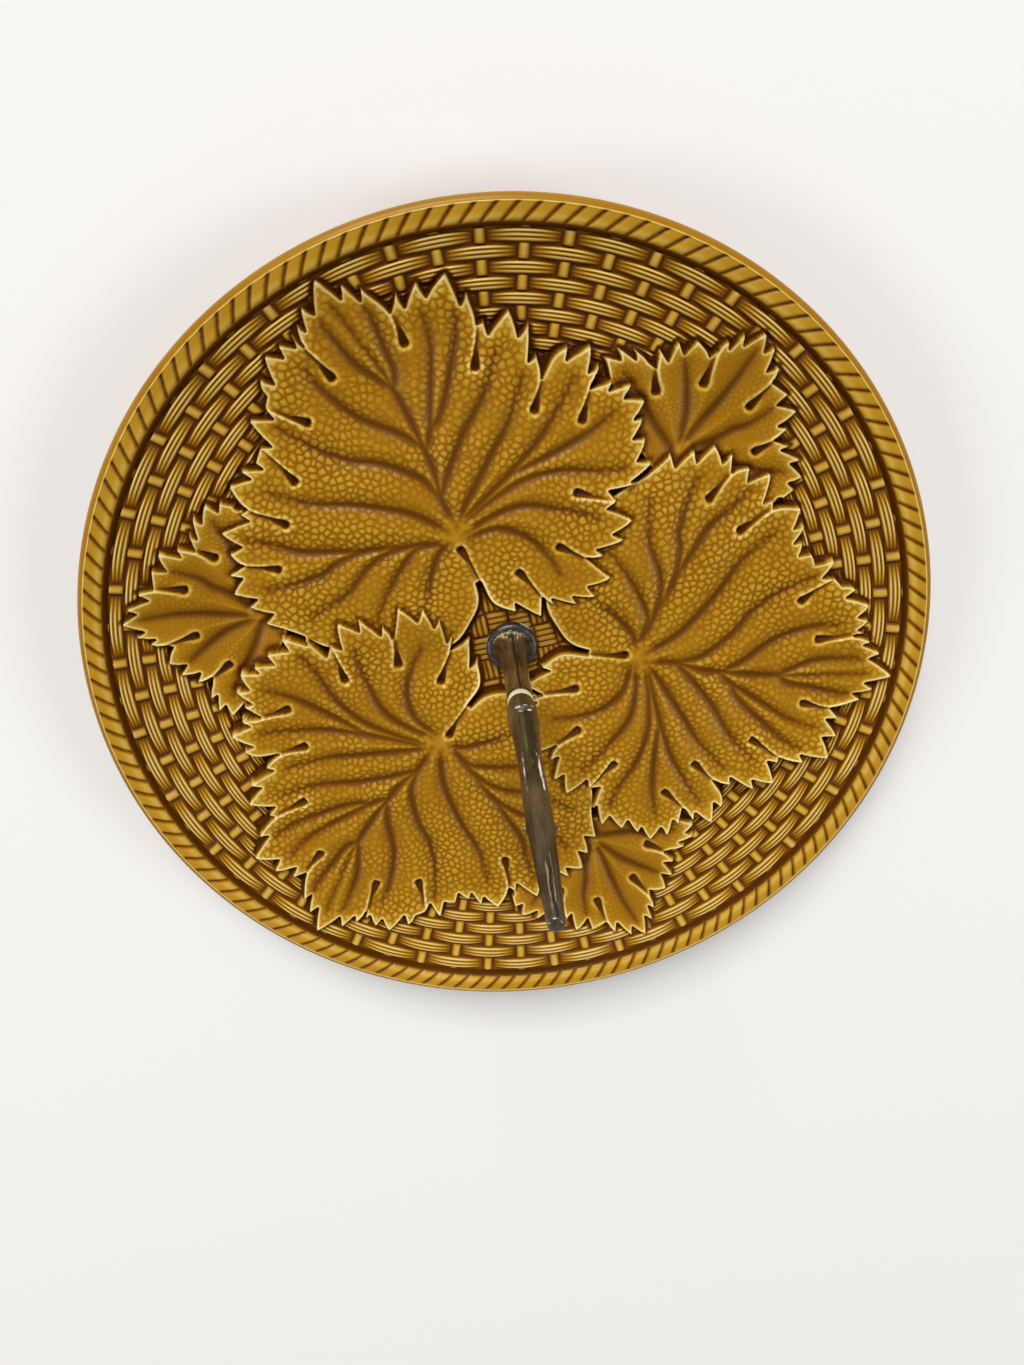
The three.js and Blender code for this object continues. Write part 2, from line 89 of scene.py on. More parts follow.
def ramp(low: float, high: float, x: Array) -> Array:
    """A smooth step: 0 below low, 1 above high, and 3t^2 - 2t^3 of the share t between them."""
    t = np.clip((x - low) / (high - low), 0, 1)
    return t * t * (3 - 2 * t)


def bell(x: Array, width: float | Array) -> Array:
    """A Gaussian bump, exp(-(x / width)^2)."""
    return np.exp(-((x / width) ** 2))


def half_round(x: Array) -> Array:
    """A half circle, sqrt(1 - x^2) for x from -1 to 1, and 0 outside."""
    return np.sqrt(np.clip(1 - x**2, 0, 1))


def strands(share: Array, count: int) -> Array:
    """Half-round strands side by side, one for each of count equal parts of the share."""
    return half_round(2 * np.mod(share * count, 1) - 1)


def off_angle(angle: Array, middle: float) -> Array:
    """Angle from a direction, brought to between minus and plus half a turn."""
    return np.mod(angle - middle + np.pi, FULL_TURN) - np.pi


def in_frame(x: Array, y: Array, turn: float) -> tuple[Array, Array]:
    """Plan coordinates in a frame turned by a, in degrees: (x cos a + y sin a, y cos a - x sin a)."""
    a = np.radians(turn)
    return x * np.cos(a) + y * np.sin(a), y * np.cos(a) - x * np.sin(a)


def along(x: Array, y: Array, start: Array, end: Array) -> tuple[Array, Array, Array]:
    """Where points lie beside a straight stretch, by the dot and cross products with its direction.

    Args:
        x: Plan coordinate.
        y: Plan coordinate.
        start: Plan point at which the stretch starts.
        end: Plan point at which it ends.

    Returns:
        The share of the stretch passed, below 0 before it and above 1 after it, the distance to the stretch,
        and the distance to the left of its line.
    """
    (dx, dy), px, py = end - start, x - start[0], y - start[1]
    length = np.hypot(dx, dy)
    run = (px * dx + py * dy) / length**2
    t = np.clip(run, 0, 1)
    return run, np.hypot(px - t * dx, py - t * dy), (py * dx - px * dy) / length


def blurred(values: Array, radius: int) -> Array:
    """Three passes of a moving mean along both axes, which comes close to a Gaussian.

    Args:
        values: A square map.
        radius: Half the moving window, in samples.

    Returns:
        The smoothed map.
    """
    width = 2 * radius + 1
    for _ in range(3):
        for axis in (0, 1):
            ends = [(0, 0), (0, 0)]
            ends[axis] = (radius + 1, radius)
            total = np.cumsum(np.pad(values, ends, mode="edge"), axis=axis)
            values = (np.take(total, range(width, total.shape[axis]), axis)
                      - np.take(total, range(total.shape[axis] - width), axis)) / width
    return values


@dataclass
class Chart:
    """A map of values over the plan, read back by linear interpolation.

    The value at (x, y) is weighed from the four samples round it.
    """

    left: float
    bottom: float
    step: float
    values: Array

    @staticmethod
    def axes(left: float, right: float, bottom: float, top: float, step: float) -> tuple[Array, Array]:
        """The x and y of every sample between these limits, as two grids."""
        return np.meshgrid(np.arange(left, right, step), np.arange(bottom, top, step), indexing="ij")

    def at(self, x: Array, y: Array) -> Array:
        """Reads the map.

        Args:
            x: Plan coordinate.
            y: Plan coordinate, of the same shape.

        Returns:
            The values there. Points outside take the nearest edge's value.
        """
        u = np.clip((x - self.left) / self.step, 0, self.values.shape[0] - 1.001)
        v = np.clip((y - self.bottom) / self.step, 0, self.values.shape[1] - 1.001)
        i, j = u.astype(int), v.astype(int)
        u, v = u - i, v - j
        low = self.values[i, j] * (1 - v) + self.values[i, j + 1] * v
        high = self.values[i + 1, j] * (1 - v) + self.values[i + 1, j + 1] * v
        return low * (1 - u) + high * u


# Meshes

def grid_faces(rows: int, columns: int, closed: bool) -> Array:
    """Four-sided faces of a grid whose columns go round and meet.

    Args:
        rows: Points along the profile.
        columns: Points round the axis.
        closed: Whether the last row joins the first.

    Returns:
        Vertex numbers, four to a face, turned so that outward and then round gives up.
    """
    i = np.arange(rows if closed else rows - 1)[:, None]
    j = np.arange(columns)[None, :]
    below, beside = (i + 1) % rows, (j + 1) % columns
    corners = [i * columns + j, below * columns + j, below * columns + beside, i * columns + beside]
    return np.stack([c.ravel() for c in np.broadcast_arrays(*corners)], axis=1)


def make_piece(name: str, points: Array, closed: bool, normals: Array | None = None,
               **layers: Array) -> Piece:
    """Puts a grid of points into a mesh object at the origin.

    The grid's rows are a profile and its columns go round. An open profile whose end rows shrink to a
    point is closed there by a fan of triangles.

    Args:
        name: Piece name.
        points: Array of rows by columns by 3, in millimetres.
        closed: Whether the profile is a loop.
        normals: Surface directions at the points, where the shading has to run on into a neighbour.
        layers: Named values at the points, which the finishes read.

    Returns:
        The new object.
    """
    rows, columns = points.shape[:2]
    quads = grid_faces(rows, columns, closed)
    flat = points.reshape(-1, 3)
    fans = np.zeros((0, 3), int)
    if not closed:
        first, last = np.arange(columns), (rows - 1) * columns + np.arange(columns)
        poles = len(flat) + np.array([0, 1])
        flat = np.vstack([flat, points[0].mean(0), points[-1].mean(0)])
        fans = np.vstack([
            np.stack([np.full(columns, poles[0]), first, np.roll(first, -1)], axis=1),
            np.stack([np.full(columns, poles[1]), np.roll(last, -1), last], axis=1),
        ])
    mesh = bpy.data.meshes.new(name)
    mesh.vertices.add(len(flat))
    mesh.vertices.foreach_set("co", (flat * MM).astype(np.float32).ravel())
    loops = np.concatenate([quads.ravel(), fans.ravel()]).astype(np.int32)
    mesh.loops.add(len(loops))
    mesh.loops.foreach_set("vertex_index", loops)
    starts = np.concatenate([np.arange(len(quads)) * 4, quads.size + np.arange(len(fans)) * 3])
    mesh.polygons.add(len(starts))
    mesh.polygons.foreach_set("loop_start", starts.astype(np.int32))
    mesh.update(calc_edges=True)
    mesh.shade_smooth()
    for layer, values in layers.items():
        values = np.broadcast_to(values, (rows, columns))
        ends = [] if closed else [values[0].mean(), values[-1].mean()]
        attribute = mesh.attributes.new(layer, "FLOAT", "POINT")
        attribute.data.foreach_set("value", np.concatenate([values.ravel(), ends]).astype(np.float32))
    if normals is not None:
        mesh.normals_split_custom_set_from_vertices(normals.reshape(-1, 3).astype(np.float32))
    piece = bpy.data.objects.new(name, mesh)
    bpy.context.scene.collection.objects.link(piece)
    LOG.info("%s: %d points", name, len(flat))
    return piece


def turned(radius: Array, height: Array, angle: Array) -> Array:
    """Points of a turned surface or one near it: (r cos a, r sin a, z), the angle in radians."""
    radius, height, angle = np.broadcast_arrays(radius, height, angle)
    return np.stack([radius * np.cos(angle), radius * np.sin(angle), height], axis=-1)


def round_angles(columns: int) -> Array:
    """Equal angles round the axis, as one row."""
    return (np.arange(columns) * FULL_TURN / columns)[None, :]


def smooth_run(points: Array, parts: int) -> Array:
    """A Catmull-Rom curve through points, with its ends doubled.

    Args:
        points: Array of n by k.
        parts: Samples for each stretch between two points.

    Returns:
        The sampled curve, ends included.
    """
    p = np.vstack([points[:1], points, points[-1:]])
    t = np.linspace(0, 1, parts, endpoint=False)[None, :, None]
    a, b, c, d = (p[k:len(p) - 3 + k, None, :] for k in range(4))
    curve = 0.5 * (2 * b + (c - a) * t + (2 * a - 5 * b + 4 * c - d) * t**2 + (3 * b - a - 3 * c + d) * t**3)
    return np.vstack([curve.reshape(-1, points.shape[1]), points[-1:]])


# Finishes

@dataclass(frozen=True)
class Finish:
    """What every finish is built with."""

    name: str

    def begin(self) -> tuple[Material, Tree, Shader]:
        """Makes an empty material.

        Returns:
            The material, its node tree and its Principled shader.
        """
        material = bpy.data.materials.new(self.name)
        material.use_nodes = True
        tree = material.node_tree
        return material, tree, tree.nodes["Principled BSDF"]

    @staticmethod
    def blotches(tree: Tree, scale: float, detail: float, stretch: Place = (1, 1, 1)) -> Socket:
        """Noise on Object coordinates.

        Args:
            tree: Node tree to add to.
            scale: Noise scale, per metre.
            detail: Octaves.
            stretch: Factors on the coordinates: a smaller one draws the noise out along that axis.

        Returns:
            The noise's factor socket.
        """
        place = tree.nodes.new("ShaderNodeTexCoord")
        mapping = tree.nodes.new("ShaderNodeMapping")
        mapping.inputs["Scale"].default_value = stretch
        noise = tree.nodes.new("ShaderNodeTexNoise")
        noise.inputs["Scale"].default_value = scale
        noise.inputs["Detail"].default_value = detail
        tree.links.new(place.outputs["Object"], mapping.inputs["Vector"])
        tree.links.new(mapping.outputs["Vector"], noise.inputs["Vector"])
        return noise.outputs["Fac"]

    @staticmethod
    def ramped(tree: Tree, factor: Socket, stops: tuple[tuple[float, Color], ...]) -> Socket:
        """Colours a factor by a colour ramp.

        Args:
            tree: Node tree to add to.
            factor: Socket to colour by.
            stops: Positions and linear colours.

        Returns:
            The colour socket.
        """
        node = tree.nodes.new("ShaderNodeValToRGB")
        elements = node.color_ramp.elements
        while len(elements) < len(stops):
            elements.new(1.0)
        for element, (position, color) in zip(elements, stops):
            element.position = position
            element.color = (*color, 1)
        tree.links.new(factor, node.inputs["Fac"])
        return node.outputs["Color"]

    @staticmethod
    def ranged(tree: Tree, factor: Socket, low: float, high: float) -> Socket:
        """Maps a factor from 0..1 to low..high.

        Args:
            tree: Node tree to add to.
            factor: Socket to map.
            low: Value where the factor is 0.
            high: Value where it is 1.

        Returns:
            The mapped socket.
        """
        node = tree.nodes.new("ShaderNodeMapRange")
        node.inputs["To Min"].default_value = low
        node.inputs["To Max"].default_value = high
        tree.links.new(factor, node.inputs["Value"])
        return node.outputs["Result"]

    @staticmethod
    def sum_of(tree: Tree, first: Socket, second: Socket) -> Socket:
        """Adds two sockets.

        Args:
            tree: Node tree to add to.
            first: One socket.
            second: The other.

        Returns:
            The sum's socket.
        """
        node = tree.nodes.new("ShaderNodeMath")
        tree.links.new(first, node.inputs[0])
        tree.links.new(second, node.inputs[1])
        return node.outputs["Value"]

    @staticmethod
    def layer(tree: Tree, name: str) -> Socket:
        """Reads a piece's named layer.

        Args:
            tree: Node tree to add to.
            name: Name of the layer.

        Returns:
            The value's socket.
        """
        node = tree.nodes.new("ShaderNodeAttribute")
        node.attribute_name = name
        return node.outputs["Fac"]

    @staticmethod
    def roughened(tree: Tree, shader: Shader, height: Socket, distance: float, strength: float) -> None:
        """Adds a bump to a shader.

        Args:
            tree: Node tree to add to.
            shader: Shader that takes the bump.
            height: Height socket.
            distance: Depth of the bump in metres.
            strength: Share of the bump.
        """
        bump = tree.nodes.new("ShaderNodeBump")
        bump.inputs["Distance"].default_value = distance
        bump.inputs["Strength"].default_value = strength
        tree.links.new(height, bump.inputs["Height"])
        tree.links.new(bump.outputs["Normal"], shader.inputs["Normal"])


@dataclass(frozen=True)
class AmberGlaze(Finish):
    """A clear amber glaze over a pale body: brown where it pools, cream where it runs thin over edges.

    A noise is a pair of scale and octaves, and a bump a pair of depth in metres and strength.
    """

    stops: tuple[tuple[float, Color], ...]
    drift: float = 0.05
    drift_noise: Point = (60, 3)
    speckle: float = 0.2
    speckle_noise: Point = (500, 2)
    roughness: Point = (0.48, 0.12)
    ripple: Point = (0.0002, 0.12)
    ripple_noise: Point = (350, 2)
    specular: float = 0.2
    specular_tint: Color = (1, 0.85, 0.6)

    def make(self) -> Material:
        """Builds the material: the glaze layer, with a little drift, picks the colour and the roughness.

        Returns:
            The material.
        """
        material, tree, shader = self.begin()
        drift = self.ranged(tree, self.blotches(tree, *self.drift_noise), -self.drift, self.drift)
        total = self.sum_of(tree, self.layer(tree, "glaze"), drift)
        tree.links.new(self.ramped(tree, total, self.stops), shader.inputs["Base Color"])
        speckle = self.ranged(tree, self.blotches(tree, *self.speckle_noise), -self.speckle, self.speckle)
        rough = self.ranged(tree, self.sum_of(tree, total, speckle), *self.roughness)
        tree.links.new(rough, shader.inputs["Roughness"])
        self.roughened(tree, shader, self.blotches(tree, *self.ripple_noise), *self.ripple)
        shader.inputs["Specular IOR Level"].default_value = self.specular
        shader.inputs["Specular Tint"].default_value = (*self.specular_tint, 1)
        return material


@dataclass(frozen=True)
class Coat:
    """What lies over a metal where a piece's layer says so: worn to the metal, split dark or crusted.

    On the grip most coats are painted light: painted reflections and painted highlights. The sums of layer
    and grain at which it starts to show, and at which it covers, are its limits.
    """

    layer: str
    color: Color
    metallic: float
    roughness: float
    limits: Point = (0.75, 0.95)


@dataclass(frozen=True)
class CastMetal(Finish):
    """A metal with a patina that is worn through in places."""

    patina: Color
    worn: Color
    wear: Point
    roughness: Point
    scale: float = 400
    stretch: Place = (1, 1, 1)
    metallic: float = 1
    coats: tuple[Coat, ...] = ()
    octaves: float = 5
    grain_noise: Point = (1800, 3)
    pitting: Point = (0.0002, 0.25)

    def make(self) -> Material:
        """Builds the material: noise mixes the patina and the worn metal, and roughens the patina.

        Each coat then goes over colour, metal and roughness where its layer plus a finer grain is high.

        Returns:
            The material.
        """
        material, tree, shader = self.begin()
        noise = self.blotches(tree, self.scale, self.octaves, self.stretch)
        color = self.ramped(tree, noise, tuple(zip(self.wear, (self.patina, self.worn))))
        rough = self.ranged(tree, noise, *self.roughness)
        metal = (self.metallic,) * 3
        for coat in self.coats:
            grain = self.blotches(tree, *self.grain_noise, self.stretch)
            share = self.sum_of(tree, self.layer(tree, coat.layer), grain)
            share = self.ramped(tree, share, tuple(zip(coat.limits, ((0, 0, 0), (1, 1, 1)))))
            color = self.over(tree, share, color, coat.color)
            rough = self.over(tree, share, rough, (coat.roughness,) * 3)
            metal = self.over(tree, share, metal, (coat.metallic,) * 3)
        tree.links.new(color, shader.inputs["Base Color"])
        tree.links.new(rough, shader.inputs["Roughness"])
        if self.coats:
            tree.links.new(metal, shader.inputs["Metallic"])
        else:
            shader.inputs["Metallic"].default_value = self.metallic
        self.roughened(tree, shader, noise, *self.pitting)
        return material

    @staticmethod
    def over(tree: Tree, share: Socket, below: Socket | Color, color: Color) -> Socket:
        """Lays a colour over a socket's value, or over another colour.

        Args:
            tree: Node tree to add to.
            share: How much of the colour shows.
            below: What it is laid on.
            color: The colour, or one value three times.

        Returns:
            The mixed socket.
        """
        node = tree.nodes.new("ShaderNodeMix")
        node.data_type = "RGBA"
        factor, under, upper = (node.inputs[k] for k in (0, 6, 7))
        upper.default_value = (*color, 1)
        tree.links.new(share, factor)
        if isinstance(below, tuple):
            under.default_value = (*below, 1)
        else:
            tree.links.new(below, under)
        return node.outputs[2]


@dataclass(frozen=True)
class SoftRubber(Finish):
    """Matte rubber with a dusty surface."""

    dark: Color
    dusty: Color
    dust: Point = (0.4, 0.7)
    noise: Point = (900, 4)
    roughness: float = 0.85
    grain: Point = (0.0001, 0.3)

    def make(self) -> Material:
        """Builds the material: noise lays dust over the rubber.

        Returns:
            The material.
        """
        material, tree, shader = self.begin()
        noise = self.blotches(tree, *self.noise)
        color = self.ramped(tree, noise, tuple(zip(self.dust, (self.dark, self.dusty))))
        tree.links.new(color, shader.inputs["Base Color"])
        shader.inputs["Roughness"].default_value = self.roughness
        self.roughened(tree, shader, noise, *self.grain)
        return material


GLAZE = AmberGlaze("amber_glaze", (
    (0.0, (0.068, 0.017, 0.0006)),
    (0.28, (0.165, 0.06, 0.0012)),
    (0.5, (0.32, 0.14, 0.004)),
    (0.72, (0.52, 0.29, 0.02)),
    (1.0, (0.82, 0.67, 0.27)),
))
CANE = CastMetal(
    "cane_bronze", (0.074, 0.062, 0.048), (0.3, 0.255, 0.18), (0.42, 0.72), (0.2, 0.38),
    scale=220, stretch=(1, 1, 0.12), metallic=0.8, coats=(
        # painted dark reflection across the pared flat
        Coat("shade", (0.028, 0.027, 0.013), 0.4, 0.3),
        # tan: a painted reflection of the brown dish beside the flat's foot, and a tan patch in the flat's
        # middle
        Coat("tan", (0.2, 0.12, 0.06), 0.4, 0.4, (0.6, 1)),
        # painted greenish reflection on the flat
        Coat("green", (0.11, 0.155, 0.05), 0.3, 0.4, (0.6, 1)),
        Coat("gold", (0.3, 0.25, 0.11), 0.3, 0.4),
        # painted highlights on the flat's edges, the bevel at its foot and the buds
        Coat("painted_highlight", (0.86, 0.8, 0.74), 0.2, 0.25),
        Coat("split", (0.012, 0.008, 0.006), 0.2, 0.6),
    ))
FERRULE = CastMetal(
    "ferrule_bronze", (0.13, 0.08, 0.035), (0.36, 0.25, 0.11), (0.38, 0.7), (0.18, 0.34),
    scale=260, stretch=(1, 1, 0.25), metallic=0.8, coats=(Coat("split", (0.02, 0.01, 0.004), 0.3, 0.5),))
COLLAR = CastMetal(
    "collar_bronze", (0.055, 0.045, 0.044), (0.13, 0.105, 0.095), (0.4, 0.7), (0.3, 0.5),
    scale=500, metallic=0.7, coats=(
        # gold on the collar: worn brass and a painted highlight
        Coat("gold", (0.72, 0.6, 0.32), 0.4, 0.3),
        Coat("crust", (0.4, 0.47, 0.43), 0, 0.8),
    ))
BEAD = CastMetal(
    "bead_brass", (0.85, 0.74, 0.4), (0.95, 0.9, 0.66), (0.3, 0.6), (0.1, 0.2),
    scale=500, metallic=0.25, coats=(Coat("split", (0.03, 0.016, 0.006), 0.3, 0.5),))
STEEL = CastMetal("plain_steel", (0.3, 0.29, 0.28), (0.5, 0.5, 0.5), (0.4, 0.6), (0.3, 0.45), scale=600)
RUBBER = SoftRubber("gasket_rubber", (0.02, 0.018, 0.016), (0.05, 0.045, 0.04))


# Vine leaves

@dataclass(frozen=True)
class Lobe:
    """One lobe of a leaf in plan, the leaf's tip along +Y: the slit before it, its rise, teeth and fall."""

    fold: Fold
    slit: Point
    rise: tuple[Point, ...]
    teeth: tuple[Point, ...]
    fall: tuple[Point, ...] = ()


# A leaf's box is its left, right, bottom and top
LARGE_HEART = (1.9, 47.8)
LARGE_BOX = (-82, 82, 1, 143)
LARGE_LOBES = (
    Lobe(Fold.NEXT, (1.5, 42), ((1.2, 28), (1, 20), (3.1, 15.6)), ((7.5, 11.3), (14.8, 5.6))),
    Lobe(Fold.NEXT, (16, 25.3), ((18.3, 12.5),), ((21.3, 6.9), (28.8, 4.4), (35.6, 4.4), (43.5, 8.8))),
    Lobe(Fold.NEXT, (32.4, 28.1), ((38.5, 19.5),), ((44.7, 17.3), (53.2, 19.7), (58.5, 25), (56.2, 33.5))),
    Lobe(Fold.LAST, (44, 41.5), ((55, 38),),
         ((66.4, 35.3), (72.4, 40.5), (73.3, 49), (75.2, 55.5), (77.8, 60.3), (76, 67.1), (71, 71))),
    Lobe(Fold.NEXT, (55.3, 64.5), ((63, 72),), ((69, 76.9), (68.6, 84), (62, 87)), ((55, 86),)),
    Lobe(Fold.NEXT, (42.5, 74.5), ((50, 82),), ((51.7, 89.1), (53.3, 98.7), (49.4, 105.4), (41, 106))),
    Lobe(Fold.NEXT, (31, 95), ((38.5, 106),), ((39.7, 115.6), (36.4, 123.8), (27.1, 125.4), (19.8, 125))),
    Lobe(Fold.NEXT, (14.1, 111), ((15.8, 121),),
         ((11, 131.1), (6.2, 134.7), (0, 139.5), (-8, 134.3), (-12, 130.4)), ((-13.3, 124),)),
    Lobe(Fold.LAST, (-9.2, 112), (),
         ((-15, 128.6), (-20.2, 127.7), (-25.7, 126.8), (-31, 121.3)), ((-31.8, 116),)),
    Lobe(Fold.NEXT, (-25.5, 102), (),
         ((-34.4, 113.2), (-41, 111.8), (-42.6, 103), (-46.8, 99.2), (-52.6, 99.1), (-58.6, 96.2)),
         ((-57.5, 87),)),
    Lobe(Fold.LAST, (-47.8, 77.3), (), ((-61, 86.5), (-69.7, 83.8), (-71.2, 76.3)), ((-69, 70.5),)),
    Lobe(Fold.LAST, (-58.6, 64.9), (), ((-76, 69.7), (-77.8, 63.1), (-75.7, 56.6), (-74, 48.6)),
         ((-66, 40.5), (-60, 32), (-48, 21), (-33, 13.5), (-18, 10.6), (-7.5, 16.3), (-2.5, 21.3),
          (-0.5, 28))),
)
# One of the three large leaves has a slit more, in its tenth lobe
CUT_LOBES = (
    *LARGE_LOBES[:9],
    Lobe(Fold.NEXT, (-25.5, 102), (), ((-34.4, 113.2), (-41, 111.8), (-42.6, 103))),
    Lobe(Fold.LAST, (-37.3, 88.1), (), ((-46.8, 99.2), (-52.6, 99.1), (-58.6, 96.2)), ((-57.5, 87),)),
    *LARGE_LOBES[10:],
)
LARGE_VEINS = (
    ((3, 50), (2.4, 60), (4.7, 70.3), (5.1, 78), (5.5, 90), (5.2, 100), (4.3, 110), (3, 117), (1, 130)),
    ((5.2, 100), (1.3, 106.2), (-2, 112.8), (-3.7, 120.3), (-4.9, 128)),
    ((5.2, 100), (8, 104.5), (8.8, 112.8), (9.7, 122), (9, 129)),
    ((2.4, 60), (-0.3, 69.5), (-9.9, 80), (-18.7, 85.8), (-27, 94.5), (-34.1, 106)),
    ((5, 79), (0.5, 85.8), (-9.5, 97), (-15.3, 110), (-16.6, 118)),
    ((-1, 50), (-9.5, 60.8), (-23.7, 71.2), (-37.8, 79), (-48, 88)),
    ((-30, 56), (-42, 62), (-48.7, 65.3), (-55.3, 71.2), (-63, 77)),
    ((-20, 52.6), (-30.3, 56.2), (-40.3, 56.6), (-47, 55.3), (-59.5, 57), (-66, 59)),
    ((-5, 46), (-10.3, 48.7), (-20.3, 51.6), (-30.3, 50.8), (-43.7, 44.9), (-57, 43.7)),
    ((-6, 46.5), (-12, 48.7), (-17, 47.4), (-27, 41.2), (-38, 32)),
    ((-3.7, 45), (-7.8, 43.3), (-14.5, 36.2), (-18.5, 30)),
    ((2.6, 61), (6.3, 65.3), (18, 76.2), (30.5, 85.3), (40, 95.5)),
    ((5.3, 77.5), (9.7, 82.8), (13.8, 90.3), (22.2, 106.2), (24.7, 116)),
    ((9.7, 82.8), (14.7, 85.8), (20.5, 92), (30.5, 105.3), (34, 112.5)),
    ((4, 51), (11.3, 56.6), (23.8, 66.2), (33.8, 73.7), (44, 84.5)),
    ((5, 51), (14.7, 53.7), (29.7, 59.1), (41.3, 64.5), (51.3, 71.2), (59, 77)),
    ((28, 58), (39.7, 57.8), (54.7, 58.7), (66, 61)),
    ((6, 50), (18, 52.8), (31.3, 54), (43.8, 51.2), (55.5, 45.3), (62, 43)),
    ((5, 46), (14.7, 47.4), (26.3, 46.2), (37.2, 39.5), (47, 31.5)),
    ((5, 44.5), (14.7, 42.8), (22.2, 36.2), (26.3, 27), (27.5, 18)),
)
SMALL_HEART = (4.5, 92)
SMALL_BOX = (-40, 49, 76, 140)
SMALL_LOBES = (
    Lobe(Fold.NEXT, (11.3, 115.8), ((12.6, 126),),
         ((10.9, 131), (5.1, 134.6), (-0.2, 135.9), (-5.1, 132), (-7.5, 127.5)), ((-8.3, 123),)),
    Lobe(Fold.LAST, (-3.3, 112.7), ((-9, 120),),
         ((-15.3, 121.5), (-19.9, 117.7), (-23, 112.1)), ((-20.5, 107),)),
    Lobe(Fold.LAST, (-14.4, 101.9), ((-23.5, 107),), ((-29.7, 107.3), (-34.4, 104.3), (-36, 99.4)),
         ((-22, 90), (4.5, 80), (36, 92))),
    Lobe(Fold.OPEN, (43.5, 98), (), ((44.5, 104.3), (43.4, 108.9), (39.1, 112.9), (32.9, 114.4))),
    Lobe(Fold.NEXT, (23.4, 106.3), ((26.8, 112.5),), ((27.7, 118.3), (25.8, 124), (19.6, 126.3))),
)
SMALL_VEINS = (
    ((3.4, 93), (3.4, 102), (3.6, 110), (3, 120), (1.3, 130)),
    ((2.4, 93), (-2, 101), (-6.4, 106.4), (-10.9, 111), (-17, 116.5)),
    ((6, 93), (11.3, 101), (13.6, 106.4), (16.9, 112), (19.3, 121)),
    ((1, 90), (-8.7, 92.6), (-16.4, 95.9), (-27, 99.5)),
    ((8, 92.5), (20, 97), (29, 101), (37, 106)),
)


@dataclass(frozen=True)
class SkinTint:
    """How much each feature of a leaf thins the glaze, and thickens it where the value is below 0. The wall's
    darkening is pooled glaze and painted shade along the leaf's edge.
    """

    plain: float = -0.06
    quilt: float = 0.13
    vein: float = -0.03
    cell: float = 0.24
    gap: float = -0.08
    full_cell: float = 0.34
    rim: float = 0.195
    lip: float = 0.65
    tip: float = 0.5
    pit: float = -0.42
    # wall: pooled glaze and painted shade on the edge's wall, for the shadow line round the leaf
    wall: float = -0.45
    web: float = 0.05


